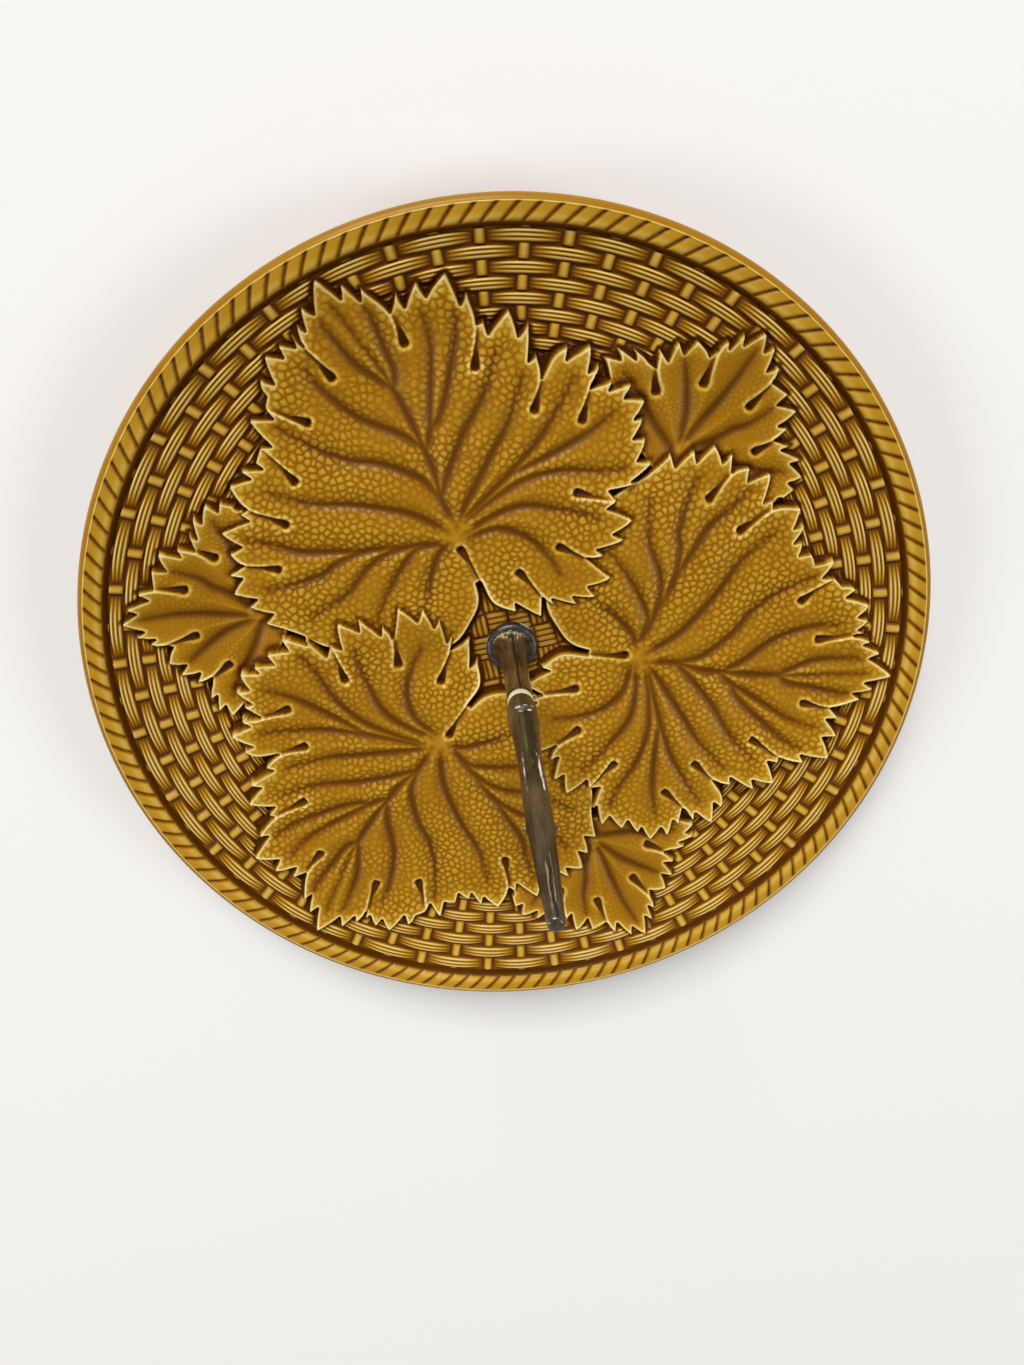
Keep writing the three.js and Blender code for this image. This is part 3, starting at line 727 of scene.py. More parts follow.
@dataclass
class VineLeaf:
    """One kind of leaf, pressed once on a chart in its own plan frame and then laid wherever it is wanted."""

    lobes: tuple[Lobe, ...]
    heart: Point
    veins: tuple[tuple[Point, ...], ...]
    left: float
    right: float
    bottom: float
    top: float
    cell_size: float
    cell_depth: float
    web: Point = (2.5, 8)
    seed: int = 7
    step: float = 0.22
    skin: SkinTint = SkinTint()
    tooth_share: float = 0.68
    tooth_limits: Point = (2.4, 5.0)
    tooth_lean: float = 0.28
    tooth_bulge: float = 0.16
    flank_parts: int = 5
    edge_reach: float = 10.0
    edge_lip: float = 0.3
    lip_width: float = 0.6
    slit_width: float = 2.0
    dot_radius: float = 1.25
    fold_margin: float = 8
    fold_depth: float = 1.5
    fold_reach: float = 2.2
    fold_end: float = 1.2
    fold_lip: float = 0.26
    pit_radius: float = 1.7
    pit_least: float = 0.6
    pit_taper: float = 0.14
    pit_depth: float = 2.4
    pit_fade: float = 0.11
    pit_start: float = 0.35
    pit_aside: float = 0.75
    ring_lip: float = 0.17
    ring_width: float = 0.8
    vein_margin: float = 14.0
    vein_width: float = 1.8
    vein_depth: float = 0.55
    pillow: float = 1.25
    pillow_reach: float = 4.4
    row_share: float = 0.866
    jitter: float = 0.4
    cells_from_vein: Point = (0.5, 1.9)
    cells_from_edge: Point = (0.9, 1.8)
    cells_off_dip: Point = (1.2, 0.3)
    tip_radius: float = 2.2
    depth_chart: Chart = field(init=False)
    blade_chart: Chart = field(init=False)
    tint_chart: Chart = field(init=False)

    def __post_init__(self) -> None:
        """Presses the leaf's charts."""
        x, y = Chart.axes(self.left, self.right, self.bottom, self.top, self.step)
        depth = self.inside_depth(x, y)
        blade, tint = self.blade(x, y, depth)
        self.depth_chart = Chart(self.left, self.bottom, self.step, depth)
        self.blade_chart = Chart(self.left, self.bottom, self.step, blade)
        self.tint_chart = Chart(self.left, self.bottom, self.step, tint)

    def toothed(self, lobe: Lobe) -> Array:
        """A lobe's teeth, with a notch between each two that is cut towards the leaf's heart.

        The teeth lean towards the one that stands furthest from the heart: a notch lies near the tooth that
        is further from that one. From the notch the edge bulges out to the other tooth, as a quadratic curve.

        Args:
            lobe: The lobe.

        Returns:
            The edge in order, as an array of n by 2.
        """
        teeth = np.array(lobe.teeth, float)
        first, second = teeth[:-1], teeth[1:]
        foremost = np.argmax(np.linalg.norm(teeth - self.heart, axis=1))
        rising = np.arange(len(first))[:, None] < foremost
        between = first + (second - first) * np.where(rising, self.tooth_lean, 1 - self.tooth_lean)
        inward = np.array(self.heart) - between
        inward /= np.linalg.norm(inward, axis=1, keepdims=True)
        apart = np.linalg.norm(second - first, axis=1, keepdims=True)
        notch = between + inward * np.clip(self.tooth_share * apart, *self.tooth_limits)
        far = np.where(rising, second, first)
        bulge = self.tooth_bulge * np.linalg.norm(far - notch, axis=1, keepdims=True)
        pull = (notch + far) / 2 - inward * bulge
        t = np.array([0, 0.3, 0.6, 0.85])[None, :, None]
        run = (1 - t) ** 2 * notch[:, None] + 2 * t * (1 - t) * pull[:, None] + t**2 * far[:, None]
        run = np.where(rising[:, None], run, run[:, ::-1])
        return np.vstack([np.concatenate([first[:, None], run], axis=1).reshape(-1, 2), teeth[-1:]])

    def flanks(self, i: int) -> tuple[Array, Array]:
        """The two sides of the slit before a lobe, each as a smooth curve from the slit's end outwards.

        Args:
            i: Number of the lobe.

        Returns:
            The last lobe's flank and the next lobe's.
        """
        last, lobe = self.lobes[i - 1], self.lobes[i]
        fall = [lobe.slit, *last.fall[::-1], last.teeth[-1]]
        rise = [lobe.slit, *lobe.rise, lobe.teeth[0]]
        return tuple(smooth_run(np.array(flank, float), self.flank_parts) for flank in (fall, rise))

    def outline(self) -> Array:
        """The leaf's edge in plan. It runs into an open slit and straight across a folded one.

        Returns:
            The corners in order, as an array of n by 2.
        """
        edges, n = [], self.flank_parts
        for i, lobe in enumerate(self.lobes):
            fall, rise = self.flanks(i)
            if lobe.fold is Fold.OPEN:
                middle = (fall[n] + rise[n]) / 2 - fall[0]
                side = middle[::-1] * (1, -1) * (self.slit_width / 2 / np.linalg.norm(middle))
                if np.linalg.norm(fall[0] + side - fall[n]) > np.linalg.norm(fall[0] - side - fall[n]):
                    side = -side
                edges += [fall[-2:0:-1], fall[:1] + side, rise[:1] - side, rise[1:-1]]
            else:
                edges.append(fall[-2:n - 1:-1] if self.lobes[i - 1].fall else fall[:0])
                edges.append(rise[n:-1] if lobe.rise else rise[:0])
            edges.append(self.toothed(lobe))
        return np.vstack(edges)

    @staticmethod
    def window(x: Array, y: Array, corners: Array, margin: float) -> tuple[slice, slice]:
        """The part of a chart that lies round some corners.

        Args:
            x: The chart's x.
            y: The chart's y.
            corners: Plan points, as an array of n by 2.
            margin: How far round them the part reaches.

        Returns:
            The chart's rows and columns.
        """
        low, high = corners.min(0) - margin, corners.max(0) + margin
        axes = zip((x[:, 0], y[0]), zip(low, high))
        return tuple(slice(*np.searchsorted(axis, ends)) for axis, ends in axes)

    def from_heart(self, x: Array, y: Array) -> Array:
        """Distance from the leaf's heart."""
        return np.hypot(x - self.heart[0], y - self.heart[1])

    def inside_depth(self, x: Array, y: Array) -> Array:
        """Signed distance to the edge, up to the edge's reach: how far inside the leaf a point lies.

        The nearest distance to any stretch of the outline, signed by how often a ray along +X crosses the
        outline, and cut by a round dot at the end of each open slit.

        Args:
            x: Plan coordinate.
            y: Plan coordinate.

        Returns:
            The depth, negative outside the leaf.
        """
        nearest = np.full(x.shape, self.edge_reach)
        inside = np.zeros(x.shape, bool)
        corners = self.outline()
        for start, end in zip(corners, np.roll(corners, -1, axis=0)):
            part = self.window(x, y, np.array([start, end]), self.edge_reach)
            nearest[part] = np.minimum(nearest[part], along(x[part], y[part], start, end)[1])
            dx, dy = end - start
            if dy:
                rows = slice(*np.searchsorted(y[0], sorted((start[1], end[1]))))
                inside[:, rows] ^= x[:, rows] < start[0] + dx * (y[:, rows] - start[1]) / dy
        depth = np.where(inside, 1, -1) * nearest
        for lobe in self.lobes:
            if lobe.fold is Fold.OPEN:
                depth = np.minimum(depth, np.hypot(x - lobe.slit[0], y - lobe.slit[1]) - self.dot_radius)
        return depth

    @staticmethod
    def beside_flank(x: Array, y: Array, flank: Array) -> tuple[Array, Array, Array, Array]:
        """Where points lie beside a slit's flank, judged by the stretch of it that is nearest.

        Args:
            x: Plan coordinate.
            y: Plan coordinate.
            flank: The flank's points from the slit's end outwards, as an array of n by 2.

        Returns:
            The distance to its left, the share of it passed, how far past either end the points lie, and the
            length of it passed, which is below 0 before its start.
        """
        nearest, side, share, past, gone = (np.full(x.shape, v) for v in (1e6, 0.0, 0.0, 0.0, 0.0))
        count, before = len(flank) - 1, 0.0
        for k, (start, end) in enumerate(zip(flank[:-1], flank[1:])):
            run, distance, left = along(x, y, start, end)
            length, t = np.linalg.norm(end - start), np.clip(run, 0, 1)
            found = (distance, left, (k + t) / count, np.abs(run - t) * length * (k in (0, count - 1)),
                     before + length * (np.minimum(run, 1) if k == 0 else t))
            nearer = distance < nearest
            nearest, side, share, past, gone = (
                np.where(nearer, new, old) for new, old in zip(found, (nearest, side, share, past, gone)))
            before += length
        return side, share, past, gone

    def folds(self, x: Array, y: Array) -> tuple[Array, Array, Array]:
        """The folded slits, where one lobe dips under the sharp edge of its neighbour.

        On the low side the blade falls off exponentially towards the upper flank, and fades past both of the
        flank's ends. At the slit's inner end it also has a pit like a drop: round there with a raised ring,
        and drawn out narrower and shallower along the flank. On the high side the edge carries a lip.

        Args:
            x: Plan coordinate.
            y: Plan coordinate.

        Returns:
            How far the blade dips, the share of that which is in pits, and the height of lips and rings.
        """
        dip, pits, lip = np.zeros(x.shape), np.zeros(x.shape), np.zeros(x.shape)
        for i, lobe in enumerate(self.lobes):
            if lobe.fold is Fold.OPEN:
                continue
            fall, rise = self.flanks(i)
            flank, way = (rise, 1) if lobe.fold is Fold.NEXT else (fall, -1)
            part = self.window(x, y, flank, self.fold_margin)
            side, share, past, gone = self.beside_flank(x[part], y[part], flank)
            side, ends = way * side, bell(past, self.fold_end)
            slope = self.fold_depth * (1 - 0.5 * share) * np.exp(-np.abs(side) / self.fold_reach)
            slope = slope * ramp(0.3, -0.3, side) * ends
            radius = np.clip(self.pit_radius - self.pit_taper * gone, self.pit_least, self.pit_radius)
            before = np.minimum(gone - self.pit_start * self.pit_radius, 0)
            off = np.hypot(before, side + self.pit_aside * radius) - radius
            pit = ramp(0.1, -0.6, off) * np.clip(1 - self.pit_fade * np.maximum(gone, 0), 0, 1)
            ring = bell(off - self.ring_width, self.lip_width) * ramp(4, 1, gone)
            edge = bell(side - self.lip_width, self.lip_width) * ends * ramp(0.02, 0.3, share)
            for layer, *heights in ((dip, slope, self.pit_depth * pit), (pits, pit),
                                    (lip, self.fold_lip * edge, self.ring_lip * ring)):
                layer[part] = np.max([layer[part], *heights], axis=0)
        return dip, pits, lip

    def vein_reach(self, x: Array, y: Array) -> tuple[Array, Array]:
        """Distance to the nearest vein, and how deep the veins are cut.

        Each vein is a smooth curve of short stretches. Its channel is a Gaussian across it, that rises out of
        the smooth web round the leaf's heart and fades to the vein's far end.

        Args:
            x: Plan coordinate.
            y: Plan coordinate.

        Returns:
            The distance and the depth of the cut.
        """
        nearest, cut = np.full(x.shape, self.vein_margin), np.zeros(x.shape)
        begun = ramp(*self.web, self.from_heart(x, y))
        for points in self.veins:
            curve = smooth_run(np.array(points, float), 4)
            part = self.window(x, y, curve, self.vein_margin)
            best, share = np.full(x[part].shape, self.vein_margin), np.zeros(x[part].shape)
            for k, (start, end) in enumerate(zip(curve[:-1], curve[1:])):
                run, distance, _ = along(x[part], y[part], start, end)
                share = np.where(distance < best, (k + np.clip(run, 0, 1)) / (len(curve) - 1), share)
                best = np.minimum(best, distance)
            nearest[part] = np.minimum(nearest[part], best + 3 * share**4)
            fade = (0.35 + 0.65 * ramp(0, 0.15, share)) * (1 - 0.75 * ramp(0.5, 1, share))
            cut[part] = np.maximum(cut[part], self.vein_depth * fade * bell(best, self.vein_width))
        return nearest + 2 * (1 - begun), cut * begun

    def cells(self, x: Array, y: Array) -> Array:
        """The pebbled skin: a Voronoi pattern on a jittered lattice of staggered rows.

        A cell is a dome that falls off with the square of the distance from its seed, and to 0 on the lines
        where the next seed is as near.

        Args:
            x: Plan coordinate.
            y: Plan coordinate.

        Returns:
            The height, from 0 to 1.
        """
        size, high = self.cell_size, self.cell_size * self.row_share
        shape = (int((self.right - self.left) / size) + 6, int((self.top - self.bottom) / size * 1.2) + 8)
        shift = np.random.default_rng(self.seed).uniform(-self.jitter, self.jitter, (*shape, 2))
        row = np.floor((y - self.bottom) / high).astype(int)
        first = np.full(x.shape, 1e6)
        second = first.copy()
        for up in (-1, 0, 1):
            j = row + up
            stagger = 0.5 * (j % 2)
            column = np.floor((x - self.left) / size - stagger).astype(int)
            for side in (-1, 0, 1):
                i = column + side
                jitter = shift[(i + 2) % shape[0], (j + 2) % shape[1]]
                px = self.left + (i + 0.5 + stagger + jitter[..., 0]) * size
                py = self.bottom + (j + 0.5 + jitter[..., 1]) * high
                d = np.hypot(x - px, y - py)
                second = np.minimum(second, np.maximum(first, d))
                first = np.minimum(first, d)
        return ramp(0, 0.5 * size, second - first) * np.clip(1 - 0.5 * (first / (0.62 * size)) ** 2, 0, 1)

    def blade(self, x: Array, y: Array, depth: Array) -> tuple[Array, Array]:
        """Relief of the leaf's skin over the clay that it is laid on, and what the skin does to the glaze.

        The skin swells between the veins like a quilt, falls into the vein channels and the folded slits, is
        pebbled with cells away from veins and edges, and has a raised lip along its edge. Two warped waves
        make the cells deeper in patches. A point is on a tooth's tip where little round it is leaf.

        Args:
            x: Plan coordinate.
            y: Plan coordinate.
            depth: Depth inside the leaf.

        Returns:
            The height in millimetres, and how much thinner the glaze lies than on plain stretches.
        """
        skin = self.skin
        vein, cut = self.vein_reach(x, y)
        dip, pits, fold_lip = self.folds(x, y)
        quilt = 1 - np.exp(-((vein / self.pillow_reach) ** 1.5))
        web = 1 - ramp(*self.web, self.from_heart(x, y))
        clear = ramp(*self.cells_from_vein, vein) * ramp(*self.cells_from_edge, depth)
        clear = clear * ramp(*self.cells_off_dip, dip) * (1 - web)
        waves = np.sin(x / 9.3 + 1.7 * np.sin(y / 11.1)) * np.sin(y / 8.7 - 1.3 * np.sin(x / 10.9))
        patchy = clear * (0.6 + 0.4 * waves)
        pebbles = self.cells(x, y) * patchy
        edge_lip = self.edge_lip * bell(depth - 0.5, self.lip_width)
        height = self.pillow * quilt - cut - dip + self.cell_depth * pebbles + edge_lip + fold_lip
        around = blurred((depth > 0).astype(float), round(self.tip_radius / self.step))
        tips = ramp(0.52, 0.3, around) * bell(depth - 0.5, 1.2)
        tint = skin.plain + skin.quilt * quilt + skin.vein * cut / self.vein_depth + skin.web * web
        tint = tint + self.cell_depth / skin.full_cell * (skin.cell * pebbles + skin.gap * patchy)
        tint = tint + skin.rim * bell(depth - 0.9, 0.5) + skin.lip * fold_lip + skin.tip * tips
        # the wall term is pooled glaze and painted shade along the leaf's edge
        return height, tint + skin.pit * pits + skin.wall * ramp(0.65, 0.15, depth)

    def laid(self, x: Array, y: Array, turn: float) -> tuple[Array, Array, Array, Array]:
        """Reads the leaf's charts where it is laid on the dish.

        Args:
            x: Plan coordinate on the dish.
            y: Plan coordinate on the dish.
            turn: Direction of the leaf's tip, in degrees from +X.

        Returns:
            The depth inside the leaf, its relief, its tint and the distance to the right of its middle line.
        """
        u, v = in_frame(x, y, turn - 90)
        near = (u > self.left) & (u < self.right) & (v > self.bottom) & (v < self.top)
        depth = np.where(near, self.depth_chart.at(u, v), -20)
        return depth, self.blade_chart.at(u, v), self.tint_chart.at(u, v), u


# The dish

# How thin the glaze counts on faces that no side shows
HIDDEN_GLAZE = 0.3


@dataclass(frozen=True)
class RopeTint:
    """How thin the glaze lies on the rope, and what each of its features adds; the crest's pale line is a
    painted highlight, and the groove's darkening is pooled glaze and painted shade.
    """

    plain: float = 0.52
    pad: float = 0.06
    swell: float = 0.14
    # painted highlight along the crest
    crest: float = 0.4
    pillow: float = 0.05
    tick: float = -0.62
    # darker into the inner groove: pooled glaze and painted shade
    groove: float = -0.48


@dataclass(frozen=True)
class Rope:
    """The rope rim: a closed section carried round, notched by slanting ticks.

    The section's points are radius and height: groove, pads, crest, lip and underside. The base is hidden.
    """

    radius: float = 150
    width: float = 9
    section: tuple[Point, ...] = (
        (140.9, 25.6), (141.3, 26.9), (142.2, 28.3), (143.6, 29.1), (145.6, 29.6), (147.0, 29.8),
        (147.6, 29.98), (148.1, 29.65), (149.1, 29.1), (149.8, 28.1), (150.0, 26.8), (149.7, 25.2),
        (148.8, 23.4), (147.0, 21.8), (144.0, 20.6),
    )
    base: tuple[Point, ...] = ((139.0, 20.2), (138.4, 22.0))
    top: float = 30
    tint: RopeTint = RopeTint()
    pad_inner: Point = (141.6, 142.4)
    pad_outer: Point = (147.7, 147.1)
    pad_middle: float = 145
    pad_swell: float = 0.22
    pad_least: float = 27
    swell_radius: float = 143.4
    swell_width: float = 1.3
    crest_radius: float = 147.6
    crest_width: float = 0.22
    upper_side: Point = (26.5, 27.5)
    groove: Point = (142.3, 141.5)
    ticks: int = 141
    tick_columns: int = 12
    tick_slant: float = 2.2 / 6
    tick_width: float = 0.2
    tick_depth: float = 0.75

    def build(self) -> Piece:
        """Makes the rim.

        The section is a smooth curve through its points. The ticks are Gaussian grooves across the pads, one
        for every step round, that slant as they run outwards, and the pads swell between them.

        Returns:
            The rim.
        """
        share = self.tint
        curve = np.minimum(smooth_run(np.array(self.section), 4), (self.radius, self.top))
        base = np.array(self.base)
        angle = round_angles(self.ticks * self.tick_columns)
        r, z = curve[:, :1], curve[:, 1:]
        on_pad = ramp(*self.pad_inner, r) * ramp(*self.pad_outer, r) * (z > self.pad_least)
        slanted = np.degrees(angle) + self.tick_slant * (r - self.pad_middle)
        across = np.abs(np.mod(slanted * self.ticks / 360, 1) - 0.5) * 2
        tick = bell(1 - across, self.tick_width) * on_pad
        pillow = (1 - across**4) * on_pad
        z = z + self.pad_swell * (pillow - on_pad) - self.tick_depth * tick
        upper = share.swell * bell(r - self.swell_radius, self.swell_width)
        # the crest's pale line is a painted highlight
        upper = upper + share.crest * bell(r - self.crest_radius, self.crest_width)
        thin = share.plain + share.pad * on_pad + share.pillow * pillow + share.tick * tick
        # the groove term darkens the rope's inner wall: pooled glaze and painted shade
        thin = thin + upper * ramp(*self.upper_side, z) + share.groove * ramp(*self.groove, r)
        points = np.concatenate([turned(r, z, angle), turned(base[:, :1], base[:, 1:], angle)])
        glaze = np.concatenate([np.clip(thin, 0, 1), np.full((len(base), angle.size), HIDDEN_GLAZE)])
        return make_piece("plate_rope", points, True, glaze=glaze)


@dataclass(frozen=True)
class Weave:
    """The basket weave round the leaves.

    A height of strands is a pair: at their edges, and how much more at their crests. So is a tint.
    """

    row_pitch: float = 4.62
    outer_row: float = 138.2
    stakes: int = 63
    first_stake: float = 7.1
    stroke_share: float = 0.43
    stroke_half: float = 2.0
    stroke_taper: float = 0.45
    stroke_strands: int = 3
    stroke_height: Point = (0.85, 0.75)
    stroke_tint: Point = (-0.2, 0.52)
    post_half: float = 1.75
    post_reach: float = 3.2
    post_height: float = 1.35
    post_tint: Point = (-0.05, 0.24)

    def at(self, r: Array, turn: Array) -> tuple[Array, Array]:
        """The weave, as height over the bottom of its gaps, and the tint of its crests.

        Rings of strokes run round the dish. In each ring a stroke passes over every second stake, and the
        stakes between show as posts; the next ring is a stake further on. A stroke is an arch along the ring
        with strands across it, and narrows to its ends.

        Args:
            r: Distance from the axis.
            turn: Angle past a large leaf's tip, in degrees.

        Returns:
            The height in millimetres and the tint.
        """
        span = 2 * 360 / self.stakes
        row = np.round((self.outer_row - r) / self.row_pitch)
        across = self.outer_row - row * self.row_pitch - r
        phase = np.mod((turn - self.first_stake) / span + 0.5 * row, 1)
        share = np.clip(np.abs(phase - 0.5) / self.stroke_share, 0, 1)
        t = np.clip(across / (self.stroke_half - self.stroke_taper * share**2), -1, 1)
        strand = strands((t + 1) / 2, self.stroke_strands)
        arch = (1 - share**2.2) * half_round(t**2)
        stroke = arch * (self.stroke_height[0] + self.stroke_height[1] * strand)
        stroke_tint = self.stroke_tint[0] + self.stroke_tint[1] * strand**4 * (1 - share**2.5)
        beside = np.minimum(phase, 1 - phase) * np.radians(span) * r
        round_post = half_round(beside / self.post_half) * np.clip(1 - (across / self.post_reach) ** 4, 0, 1)
        post = self.post_height * round_post
        post_tint = self.post_tint[0] + self.post_tint[1] * round_post**3
        return np.maximum(stroke, post), np.where(stroke > post, stroke_tint, post_tint)


@dataclass(frozen=True)
class Plait:
    """The plait of blocks in the middle, with pairs as the weave has them."""

    block: Point = (8.0, 8.7)
    start: Point = (1.0, -4.0)
    turn: float = 14
    count: int = 4
    height: Point = (0.4, 0.8)
    tint: Point = (-0.16, 0.22)

    def at(self, x: Array, y: Array) -> tuple[Array, Array]:
        """The plait, as height over the bottom of its gaps, and the tint of its crests.

        Blocks of strands lie like a chequerboard: in every second block the strands run the other way, and
        left of the middle the two kinds are swapped. A strand is half round, and a block arches lengthwise.

        Args:
            x: Plan coordinate.
            y: Plan coordinate.

        Returns:
            The height in millimetres and the tint.
        """
        u, v = in_frame(x, y, self.turn)
        u = (u - self.start[0]) / self.block[0]
        v = (v - self.start[1]) / self.block[1]
        flat = np.mod(np.floor(u) + np.floor(v) + (u < 0), 2) > 0
        u, v = np.mod(u, 1), np.mod(v, 1)
        arch = 1 - (np.abs(np.where(flat, u, v) - 0.5) * 2) ** 5
        strand = strands(np.where(flat, v, u), self.count)
        height = arch * (self.height[0] + self.height[1] * strand)
        return height, self.tint[0] + self.tint[1] * strand**4 * arch


@dataclass
class Dish:
    """The glazed dish: ground, weave, plait, leaves, rope rim, back and foot."""

    rope: Rope = Rope()
    weave: Weave = Weave()
    plait: Plait = Plait()
    floor_top: float = 14.5
    floor_radius: float = 85
    wall_rise: float = 12.3
    hole_radius: float = 4
    underside: float = 8.5
    wall_thickness: float = 6.5
    foot_radius: float = 94
    foot_width: float = 5
    foot_draft: float = 3
    leaf_turn: float = 117.3
    leaf_step: float = 120
    small_lag: float = 62.2
    large_lift: float = 1.8
    large_crown: float = 3.4
    small_lift: float = 1.3
    small_crown: float = 0.7
    crown_radius: float = 75
    crown_reach: float = 60
    tilt: float = 0.0175
    edge_wall: Point = (-0.3, 0.55)
    dent: float = 0.7
    dent_reach: float = 1.5
    weave_depth: float = 1.5
    weave_least: float = 0.1
    weave_fade: Point = (0.2, 2.0)
    weave_end: Point = (0.2, 0.9)
    plait_radius: float = 45
    seat_radius: float = 10
    seat_gap: float = 0.05
    plain_glaze: float = 0.45
    near_relief: float = 0.16
    near_tint: float = 0.12
    far_relief: float = 0.75
    crest_tint: float = 0.16
    hollow_tint: float = 0.36
    ring_depth: float = 4
    rope_overlap: float = 0.6
    chart_step: float = 0.3
    chart_margin: float = 1.5
    near_blur: int = 1
    far_blur: int = 5
    back_columns: int = 240

    def __post_init__(self) -> None:
        """Presses both kinds of leaf and charts the smoothed relief."""
        self.well_radius = self.rope.radius - self.rope.width
        whole, cut = (
            VineLeaf(lobes, LARGE_HEART, LARGE_VEINS, *LARGE_BOX, cell_size=2.7, cell_depth=0.3)
            for lobes in (LARGE_LOBES, CUT_LOBES))
        self.large = (cut, whole, whole)
        self.small = VineLeaf(SMALL_LOBES, SMALL_HEART, SMALL_VEINS, *SMALL_BOX,
                              cell_size=1.9, cell_depth=0.12, web=(1, 4), seed=11)
        reach = self.well_radius + self.chart_margin
        x, y = Chart.axes(-reach, reach, -reach, reach, self.chart_step)
        height, _ = self.relief(x, y)
        self.fine = Chart(-reach, -reach, self.chart_step, blurred(height, self.near_blur))
        self.broad = Chart(-reach, -reach, self.chart_step, blurred(height, self.far_blur))

    def ground(self, r: Array) -> Array:
        """Height of the dish inside: a flat floor, then a parabola up to the rope."""
        climb = np.clip(r - self.floor_radius, 0, None) / (self.well_radius - self.floor_radius)
        return self.floor_top + self.wall_rise * climb**2

    def relief(self, x: Array, y: Array) -> tuple[Array, Array]:
        """Height of the dish's decorated inside, and the tint of what lies on top there.

        The highest of the weave and the leaves. A large leaf rides up to its right, so that it lies over its
        neighbour's left side, and what lies under a leaf dips along that leaf's edge.

        Args:
            x: Plan coordinate.
            y: Plan coordinate.

        Returns:
            The height in millimetres and the tint.
        """
        r = np.hypot(x, y)
        ground = self.ground(r)
        low = ground - self.weave_depth
        swell = np.clip(1 - ((r - self.crown_radius) / self.crown_reach) ** 2, 0, None)
        turns = [self.leaf_turn + self.leaf_step * k for k in range(len(self.large))]
        large = [leaf.laid(x, y, turn) for leaf, turn in zip(self.large, turns)]
        small = [self.small.laid(x, y, turn - self.small_lag) for turn in turns]
        dents = [self.dent * np.exp(np.minimum(depth, 0) / self.dent_reach) for depth, *_ in large]
        edge = np.max([depth for depth, *_ in large + small], axis=0)
        turn = np.mod(np.degrees(np.arctan2(y, x)) - self.leaf_turn, self.leaf_step)
        woven, tint = (np.where(r > self.plait_radius, *pair)
                       for pair in zip(self.weave.at(r, turn), self.plait.at(x, y)))
        free = self.weave_least + (1 - self.weave_least) * ramp(*self.weave_fade, -edge)
        free = free * ramp(self.well_radius + self.weave_end[0], self.well_radius - self.weave_end[1], r)
        height = low + woven * free
        tint = tint * free
        layers = []
        for k, (depth, blade, skin, _) in enumerate(small):
            under = np.maximum(dents[k], dents[k - 1])
            layers.append((depth, self.small_lift + self.small_crown * swell + blade - under, skin))
        for k, (depth, blade, skin, right) in enumerate(large):
            lift = self.large_lift + self.large_crown * swell + self.tilt * right
            layers.append((depth, lift + blade - dents[(k + 1) % len(large)] * (right < 0), skin))
        for depth, lift, skin in layers:
            top = self.raised(depth, low, ground + lift)
            tint = np.where(top > height, skin, tint)
            height = np.maximum(height, top)
        seat = np.where(r < self.seat_radius, self.floor_top - self.seat_gap, np.inf)
        return np.minimum(height, seat), tint

    def raised(self, depth: Array, low: Array, top: Array) -> Array:
        """A leaf's edge: a smooth step from low up to top across the edge's wall, and nothing outside it."""
        return np.where(depth > self.edge_wall[0], low + (top - low) * ramp(*self.edge_wall, depth), -np.inf)

    def glaze_over(self, x: Array, y: Array, height: Array, tint: Array) -> Array:
        """How thin the glaze lies: plain on plain stretches, thinner on crests and thicker in hollows.

        Two differences are added, of the height from its mean over half a millimetre and over two.

        Args:
            x: Plan coordinate.
            y: Plan coordinate.
            height: Relief height there.
            tint: What the leaf's skin or the weave adds there.

        Returns:
            The thinness, from 0 to 1.
        """
        near = np.tanh((height - self.fine.at(x, y)) / self.near_relief)
        far = np.tanh((height - self.broad.at(x, y)) / self.far_relief)
        far_tint = np.where(far > 0, self.crest_tint, self.hollow_tint)
        return np.clip(self.plain_glaze + self.near_tint * near + far_tint * far + tint, 0, 1)

    def face_rings(self) -> list[Piece]:
        """The decorated inside, as closed rings of clay that follow each other outwards.

        A ring's points are on circles, lifted to the relief, with two rows below that close it. The surface
        directions come from differences over the whole band of rings, so the light runs on from ring to ring.

        Returns:
            The rings.
        """
        rings = []
        # Inner and outer radius of each band, its columns, its rings and the rows of a ring
        bands = ((5.0, 52.0, 816, 2, 65), (52.0, 98.0, 1536, 3, 42),
                 (98.0, self.well_radius + self.rope_overlap, 1968, 4, 40))
        for inner, outer, columns, count, rows in bands:
            r = np.linspace(inner, outer, count * rows + 1)
            gap = r[1] - r[0]
            r = np.concatenate([[r[0] - gap], r, [r[-1] + gap]])[:, None]
            plan = turned(r, 0, round_angles(columns))
            x, y = plan[..., 0], plan[..., 1]
            height, tint = self.relief(x, y)
            plan[..., 2] = height
            down = plan[2:] - plan[:-2]
            beside = np.roll(plan, -1, axis=1) - np.roll(plan, 1, axis=1)
            normal = np.cross(down, beside[1:-1])
            normal /= np.linalg.norm(normal, axis=-1, keepdims=True)
            glaze = self.glaze_over(x, y, height, tint)[1:-1]
            plan = plan[1:-1]
            for k in range(count):
                part = slice(k * rows, (k + 1) * rows + 1)
                below = plan[[part.stop - 1, part.start]].copy()
                below[..., 2] = self.ground(np.hypot(below[..., 0], below[..., 1])) - self.ring_depth
                flat = np.zeros_like(below)
                flat[..., 2] = -1
                rings.append(make_piece(
                    f"plate_face_{len(rings) + 1}",
                    np.concatenate([plan[part], below]),
                    True,
                    np.concatenate([normal[part], flat]),
                    glaze=np.concatenate([glaze[part], np.full(below.shape[:2], HIDDEN_GLAZE)]),
                ))
        return rings

